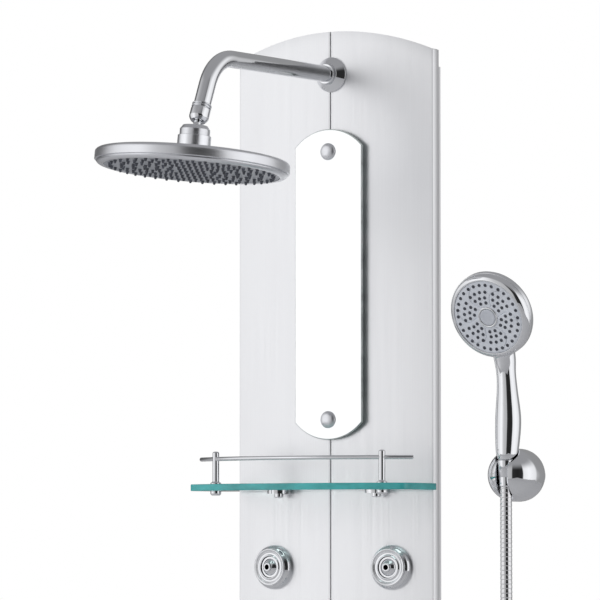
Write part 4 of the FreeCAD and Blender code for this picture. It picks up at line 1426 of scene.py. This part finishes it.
# ---------------------------------------------------------------- diverter and mixer
class SHOWER_OT_controls(ShowerOperator):
    """Diverter knob and single-lever mixer with their wall flanges"""

    bl_idname = "shower.controls"
    bl_label = "Controls"

    def execute(self, context):
        chrome = FINISHES["chrome"]
        face_y = high("diverter_flange").y
        knob_at = Vector((0, face_y, middle("diverter_flange").z))
        flange = [(12.1, 0), (27, 0), (27, 1.6, 0.5), (24.5, 4, 1), (21, 4.2), (12.1, 4.2)]
        plate = lathe("diverter_plate", flange, knob_at, FRONT, 112)
        fit(plate, BODY, chrome, ["diverter_flange"])
        knob = [
            (0, 28), (18.8, 28, 0.8), (21.2, 27, 1.4), (21.6, 24.5, 0.6), (21.6, 6.4, 0.8),
            (20.6, 4.7, 0.5)
        ]
        knob += [(4.05, 4.7), (4.05, 20.3), (0, 20.3)]
        body = lathe("diverter_grip", knob, knob_at, FRONT, 112)
        bar_outline = []
        for k in range(48):
            angle = 2 * math.pi * k / 48
            x = 3 * math.cos(angle)
            z = 3 * math.sin(angle) + math.copysign(15, math.sin(angle + 1e-6))
            bar_outline.append(Vector((x * MM, 0, z * MM)) + knob_at)
        bar = slab("diverter_bar", bar_outline, FRONT * 26 * MM, FRONT * 7 * MM, edge=0.0012)
        rib = lathe(
            "diverter_ribs", [(0, 7.6), (0.7, 8.4, 0.3), (0.7, 22.4, 0.3), (0, 23.2)], Vector(),
            UP, 10
        )
        ribs = {"Ribs": sizes().grip_ribs, "Radius": 21.5 * MM}
        grip_rule("knob_ribs", chrome, ribs).grow(rib)
        rib.data.transform(frame_at(knob_at, FRONT))
        for piece in (body, bar, tidy_mesh(rib)):
            fit(piece, "diverter_knob", chrome)
        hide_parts("diverter_knob")

        base = Vector((0, face_y, middle("mixer_flange").z))
        flange = [(18.1, 0), (36, 0), (36, 1.6, 0.5), (33, 4.2, 1.2), (28, 4.4), (18.1, 4.4)]
        fit(
            lathe("mixer_plate", flange, base, FRONT, 128), BODY, chrome,
            ["mixer_flange"]
        )
        dome = [
            (0, 4.6), (23, 4.6), (24, 5.8, 0.6), (24, 31, 4), (22, 36, 3), (16.5, 38, 3), (0, 38)
        ]
        cap = lathe("mixer_cap", dome, base, FRONT, 128)
        hinge = pivot("mixer_flow")
        pocket_low = Vector((-8.3 * MM, base.y - 45 * MM, base.z - 7 * MM))
        pocket_high = Vector((8.3 * MM, hinge.y + 7 * MM, base.z + 13 * MM))
        corners = [
            Vector((x, 0, z)) for x, z in (
                (pocket_low.x, pocket_low.z), (pocket_high.x, pocket_low.z),
                (pocket_high.x, pocket_high.z), (pocket_low.x, pocket_high.z),
            )
        ]
        cutter = slab(
            "cutter", corners, Vector((0, pocket_high.y, 0)),
            FRONT * (pocket_high.y - pocket_low.y), 0
        )
        cut = cap.modifiers.new("pocket", "BOOLEAN")
        cut.object = cutter
        cut.solver = "EXACT"
        bake(cap)
        bpy.data.objects.remove(cutter)
        drill(cap, [(hinge - Vector((0.03, 0, 0)), hinge + Vector((0.03, 0, 0)), 6.05 * MM)])
        fit(tidy_mesh(cap, 30), "mixer_dome", chrome, ["mixer_dome"])

        barrel = [
            (0, -22.5), (5.4, -22.5, 0.3), (6, -21.9, 0.3), (6, 21.9, 0.3), (5.4, 22.5, 0.3),
            (0, 22.5)
        ]
        pin = lathe("lever_barrel", barrel, hinge, Vector((1, 0, 0)), 64)
        tip = hinge.y - 62 * MM
        outline = [Vector((-5.5 * MM, hinge.y, 0)), Vector((5.5 * MM, hinge.y, 0))]
        for k in range(21):
            angle = math.pi * k / 20
            outline.append(
                Vector((7.8 * MM * math.cos(angle), tip - 7.8 * MM * math.sin(angle), 0))
            )
        blade = slab(
            "lever_blade", outline, UP * (hinge.z - 4 * MM), UP * 8 * MM, edge=0.0022, levels=4
        )
        for piece in (pin, blade):
            fit(piece, "mixer_lever", chrome)
        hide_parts("mixer_lever")
        return {"FINISHED"}


# ---------------------------------------------------------------- outlet, bracket and hand shower
class SHOWER_OT_outlet(ShowerOperator):
    """Hose outlet elbow at the foot of the panel, and the hose's first nut"""

    bl_idname = "shower.outlet"
    bl_label = "Hose outlet"

    def execute(self, context):
        chrome = FINISHES["chrome"]
        nut_at = Vector((0, middle("outlet_hose_nut").y, high("outlet_hose_nut").z + 8 * MM))
        axis_z = nut_at.z + 4 * MM
        face_y = high("diverter_flange").y
        bend = 12 * MM
        line = [Vector((0, -0.048, axis_z)), Vector((0, nut_at.y + bend, axis_z))]
        for i in range(1, 17):
            angle = math.pi / 2 * i / 16
            line.append(
                Vector(
                    (
                        0, nut_at.y + bend * (1 - math.sin(angle)),
                        axis_z - bend * (1 - math.cos(angle))
                    )
                )
            )
        line.append(Vector((0, nut_at.y, axis_z - 12.6 * MM)))
        elbow = tube("outlet_bend", line, 10 * MM, 64)
        plate = [(9, 0), (22, 0), (22, 1.5, 0.5), (19, 3.2, 2), (14, 4.9, 2), (10, 5), (9, 5)]
        rose = lathe("outlet_rose", plate, Vector((0, face_y, axis_z)), FRONT, 112)
        spigot = lathe("outlet_spigot", [(0, 0), (8, 0), (8, -16), (0, -16)], nut_at, UP, 48)
        block = slab(
            "outlet_block",
            [
                Vector((x * MM, 0, axis_z + z * MM)) for x,
                z in ((-12, -12), (12, -12), (12, 12), (-12, 12))
            ],
            Vector((0, -0.026, 0)), Vector((0, -0.0238, 0)), edge=0.001,
        )
        for piece, finish in (
            (elbow, chrome), (rose, chrome), (spigot, chrome), (block, FINISHES["brass"])
        ):
            fit(piece, BODY, finish)
        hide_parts("outlet_elbow")
        nut = [
            (8.05, -8), (10, -8, 0.4), (10.6, -9, 0.5), (10.6, -17, 0.8), (8.4, -21.2, 0.6),
            (7.1, -22, 0.3)
        ]
        nut += [(0, -22), (0, -20), (8.05, -20)]
        fit(
            lathe("outlet_nut", nut, nut_at, UP, 64), BODY, chrome,
            ["outlet_hose_nut"]
        )
        return {"FINISHED"}


class SHOWER_OT_bracket(ShowerOperator):
    """Round-nosed hand shower bracket with its bore and slot, on a small screwed base"""

    bl_idname = "shower.bracket"
    bl_label = "Bracket"

    def execute(self, context):
        chrome = FINISHES["chrome"]
        box_low, box_high = low("bracket_base"), high("bracket_base")
        wall = Vector(((box_low.x + box_high.x) / 2, 0, (box_low.z + box_high.z) / 2))
        base = [(0, 0), (15.5, 0), (15.5, 6, 0.6), (14.5, 7, 0.5), (7.5, 7), (7.5, 22), (0, 22)]
        plate = lathe("bracket_plate", base, wall, FRONT, 112)
        places = [wall + Vector((x * MM, 0, 0)) for x in (-11.3, 11.3)]
        drill(plate, [(at - FRONT * 0.01, at + FRONT * 0.02, 2.25 * MM) for at in places])
        fit(tidy_mesh(plate, 30), BODY, chrome, ["bracket_base"])
        body = [(0, 22.2), (7.55, 22.2), (7.55, 9), (20, 9, 1.5), (31, 27, 7)]
        body += [(radius, 46 + height) for radius, height in arc_profile(31, 0, 90, 40)]
        ball = lathe("bracket_orb", body, wall, FRONT, 160)
        handle_y = middle("handset_hose_nut").y
        seat = [(0, -40), (8.1, -40), (8.1, -14), (10.6, 17), (10.6, 45), (0, 45)]
        throat = [(0, 15), (13.2, 15), (17, 34), (20, 45), (0, 45)]
        cutters = [
            lathe("cutter_seat", seat, Vector((wall.x, handle_y, wall.z)), UP, 128),
            lathe("cutter_throat", throat, Vector((wall.x, handle_y + 1.6 * MM, wall.z)), UP, 128),
        ]
        wide = 8.3 * MM
        corners = [(-wide, -40 * MM), (wide, -40 * MM), (wide, 40 * MM), (-wide, 40 * MM)]
        outline = [Vector((wall.x + x, 0, wall.z + z)) for x, z in corners]
        cutters.append(slab("cutter_slot", outline, Vector((0, handle_y, 0)), FRONT * 60 * MM, 0))
        for cutter in cutters:
            cut = ball.modifiers.new("cut", "BOOLEAN")
            cut.object = cutter
            cut.solver = "EXACT"
            bake(ball)
            bpy.data.objects.remove(cutter)
        ease = ball.modifiers.new("ease", "BEVEL")
        ease.width = 0.9 * MM
        ease.segments = 3
        ease.limit_method = "ANGLE"
        ease.angle_limit = math.radians(40)
        bake(ball)
        fit(tidy_mesh(ball, 35), BODY, chrome, ["bracket_ball"])
        return {"FINISHED"}


HANDLE_STATIONS = [
    (63.0, 133.0, 21.0),
    (62.0, 145.0, 27.0),
    (59.6, 180.0, 30.4),
    (61.6, 215.0, 24.5),
    (64.2, 235.0, 23.0),
    (67.6, 253.0, 26.0),
    (74.5, 272.0, 27.0),
    (84.0, 292.0, 22.0),
]


def smooth_between(before, start, end, after, t):
    """A value on the smooth curve through a list of stations."""
    return 0.5 * (
        2 * start + (end - before) * t + (2 * before - 5 * start + 4 * end - after) * t ** 2
        + (3 * start - before - 3 * end + after) * t ** 3
    )


def handset_axes():
    """Centre of the spray face, and the way back into the handset."""
    plate_low, plate_high = low("handset_face"), high("handset_face")
    tilt = math.radians(22.4)
    back = Vector((0, math.cos(tilt), math.sin(tilt)))
    return (plate_low + plate_high) / 2 - back * 1.3 * MM, back


def handle_mesh(name, centre_x):
    rings = []
    sides = 64
    stations = HANDLE_STATIONS
    for i in range(len(stations) - 1):
        around = [
            stations[max(i - 1, 0)], stations[i], stations[i + 1],
            stations[min(i + 2, len(stations) - 1)]
        ]
        steps = 10
        for k in range(steps + (i == len(stations) - 2)):
            depth, height, diameter = (
                smooth_between(*(station[part] for station in around), k / steps) for part in range(
                    3
                )
            )
            ring = []
            for s in range(sides):
                angle = 2 * math.pi * s / sides
                ring.append(
                    Vector((
                        centre_x + diameter / 2 * MM * math.cos(angle),
                        (-depth + diameter / 2 * math.sin(angle)) * MM,
                        height * MM,
                    ))
                )
            rings.append(ring)
    return ring_solid(name, rings)


def join(target, *others):
    """Adds other pieces' meshes to one."""
    shape = bmesh.new()
    shape.from_mesh(target.data)
    for other in others:
        shape.from_mesh(other.data)
        bpy.data.objects.remove(other)
    shape.to_mesh(target.data)
    shape.free()
    return target


def spray_surface(centre, back):
    """The hand shower's face: a polar plate with six S-shaped grooves and room for the button."""
    inner, outer = 10.4, 44.25
    rings, sides = 56, 720
    place = frame_at(centre, -back)
    vertices = []
    for i in range(rings + 1):
        r = inner + (outer - inner) * i / rings
        for k in range(sides):
            angle = 2 * math.pi * k / sides
            share = (r - 13.5) / (outer - 3 - 13.5)
            sway = 0.34 * math.sin(math.pi * max(0.0, min(1.0, share))) - 0.25 * share
            offset = (angle - sway + math.pi / 6) % (math.pi / 3) - math.pi / 6
            across = abs(offset) * r
            fade = max(0.0, min(1.0, (r - 13.5) / 1.5, (outer - 2.4 - r) / 1.5))
            height = -0.4 - 0.9 * math.exp(-(across / 0.55) ** 2) * fade
            height -= 0.5 * math.exp(-((r - outer) / 0.8) ** 2)
            vertices.append(
                place @ Vector((r * MM * math.cos(angle), r * MM * math.sin(angle), height * MM))
            )
    faces = []
    for i in range(rings):
        for k in range(sides):
            on = (k + 1) % sides
            faces.append(
                [i * sides + k, i * sides + on, (i + 1) * sides + on, (i + 1) * sides + k]
            )
    first = len(vertices)
    for r in (outer, inner):
        for k in range(sides):
            angle = 2 * math.pi * k / sides
            vertices.append(
                place @ Vector((r * MM * math.cos(angle), r * MM * math.sin(angle), -2.2 * MM))
            )
    for k in range(sides):
        on = (k + 1) % sides
        faces.append([rings * sides + k, rings * sides + on, first + on, first + k])
        faces.append([first + k, first + on, first + sides + on, first + sides + k])
        faces.append([first + sides + k, first + sides + on, on, k])
    return tidy_mesh(new_piece("handset_plate", vertices, faces), 50)


class SHOWER_OT_handset(ShowerOperator):
    """Hand shower: chrome body, grey spray face with grooves and nozzles, button and hose nut"""

    bl_idname = "shower.handset"
    bl_label = "Hand shower"

    def execute(self, context):
        chrome = FINISHES["chrome"]
        centre, back = handset_axes()
        edge = 44.25
        handle = handle_mesh("handset_shell", centre.x)
        dome = [
            (0, 3), (48.5, 3), (50.6, 6, 1), (50.6, 14), (51.4, 15.5, 0.5), (49.3, 20.3, 3),
            (44, 22.6, 3)
        ]
        dome += [(26, 24.6, 6), (12, 25.4, 5), (0, 25.5)]
        join(handle, lathe("handset_dome", dome, centre, back, 128))
        skin = handle.modifiers.new("skin", "REMESH")
        skin.mode = "VOXEL"
        skin.voxel_size = 0.95 * MM
        bake(handle)
        calm = handle.modifiers.new("calm", "SMOOTH")
        calm.factor = 0.5
        calm.iterations = 14
        bake(handle)
        fit(tidy_mesh(handle, 80), "handset", chrome, ["handset_body"])
        rim = [
            (edge + 0.1, 2.2), (edge + 0.1, 0.3, 0.2), (edge + 0.6, -0.3, 0.3),
            (edge + 2.2, -0.1, 0.6)
        ]
        rim += [
            (49.4, 1.6, 1.2), (51.2, 4.6, 1.5), (51.6, 8, 0.3), (51, 8.2, 0.1), (51, 8.9, 0.1),
            (51.7, 9.1, 0.3)
        ]
        rim += [(51.7, 14.6, 0.4), (51.3, 15.4, 0.3), (47, 15.4), (47, 2.2)]
        fit(lathe("handset_rim", rim, centre, back, 192), "handset", chrome)
        plate = spray_surface(centre, back)
        # The spray face gets the lightened grey, with painted light in its colour.
        fit(plate, "handset", FINISHES["hand_face"], ["handset_face"])
        surround = [
            (10.3, 1), (10.3, -0.4, 0.2), (11.2, -0.9, 0.4), (12.3, -0.6, 0.4), (12.8, 0.3, 0.2),
            (12.8, 1)
        ]
        fit(
            lathe("button_surround", surround, centre, back, 128), "handset",
            chrome
        )
        nozzle = [
            (0, -0.8), (2.1, -0.8), (2.1, 0.1), (1.75, 0.5), (1.25, 0.95), (0.85, 0.95),
            (0.65, 0.2), (0, 0.2)
        ]
        rows = (
            (5, 0.895, 0.205, 0.0), (4, 0.70, 0.24, 0.35), (3, 0.54, 0.30, 0.7),
            (2, 0.40, 0.42, 1.0)
        )
        for count, share, step, turn in rows:
            tips = lathe("handset_nozzles_" + str(count), nozzle, Vector(), UP, 14)
            sizes_of_row = {
                "Nozzles in a row": count, "Radius": edge * share * MM, "Step": step,
                "Turn": math.pi / 6 + 0.28 * math.sin(math.pi * (share - 0.3) / 0.65),
                "Slant": -0.0002 * turn,
            }
            sector_rule("handset_row_" + str(count), FINISHES["rubber"], sizes_of_row).grow(tips)
            tips.data.transform(frame_at(centre + back * 0.35 * MM, -back))
            fit(tidy_mesh(tips), "handset", FINISHES["rubber"])
        button = [
            (0, -0.1), (5, -0.25, 1), (8.6, -0.75, 0.5), (9.6, -0.55, 0.4), (10.1, 0.2, 0.3),
            (10.1, 2.2), (0, 2.2)
        ]
        piece = lathe("handset_dish", button, centre, back, 96)
        fit(piece, "handset", FINISHES["button"], ["handset_button"])
        foot = low("handset_hose_nut").z / MM
        top = high("handset_hose_nut").z / MM
        nut = [
            (0, foot), (7, foot, 0.2), (7.7, foot + 0.9, 0.4), (8.6, foot + 11), (8.3, foot + 11.6)
        ]
        nut += [(8.7, foot + 12.2), (10.2, top - 2, 0.8), (9.8, top, 0.4), (0, top)]
        at = Vector((centre.x, middle("handset_hose_nut").y, 0))
        fit(
            lathe("handset_nut", nut, at, UP, 96), "handset", chrome,
            ["handset_hose_nut"]
        )
        return {"FINISHED"}


# ---------------------------------------------------------------- panel and registration
PIECES = (
    SHOWER_OT_stage, SHOWER_OT_hose, SHOWER_OT_panel, SHOWER_OT_arm, SHOWER_OT_rain_head,
    SHOWER_OT_mirror,
    SHOWER_OT_shelf, SHOWER_OT_jets, SHOWER_OT_controls, SHOWER_OT_outlet, SHOWER_OT_bracket,
    SHOWER_OT_handset,
)


class SHOWER_PT_column(bpy.types.Panel):
    """Sizes, colours and pieces of the shower column"""

    bl_label = "Shower Column"
    bl_idname = "SHOWER_PT_column"
    bl_space_type = "VIEW_3D"
    bl_region_type = "UI"
    bl_category = "Shower Column"

    def draw(self, context):
        layout = self.layout
        for group in (context.scene.shower_sizes, context.scene.shower_colours):
            section = layout.box()
            for name in group.__annotations__:
                section.prop(group, name)
        for piece in PIECES:
            layout.operator(piece.bl_idname)


CLASSES = (ShowerSizes, ShowerColours) + PIECES + (SHOWER_PT_column,)


def register():
    for kind in CLASSES:
        bpy.utils.register_class(kind)
    bpy.types.Scene.shower_sizes = bpy.props.PointerProperty(type=ShowerSizes)
    bpy.types.Scene.shower_colours = bpy.props.PointerProperty(type=ShowerColours)


def unregister():
    del bpy.types.Scene.shower_colours
    del bpy.types.Scene.shower_sizes
    for kind in reversed(CLASSES):
        bpy.utils.unregister_class(kind)


def main():
    register()
    make_finishes(colours())
    for piece in PIECES:
        group, name = piece.bl_idname.split(".")
        getattr(getattr(bpy.ops, group), name)()


if __name__ == "__main__":
    main()
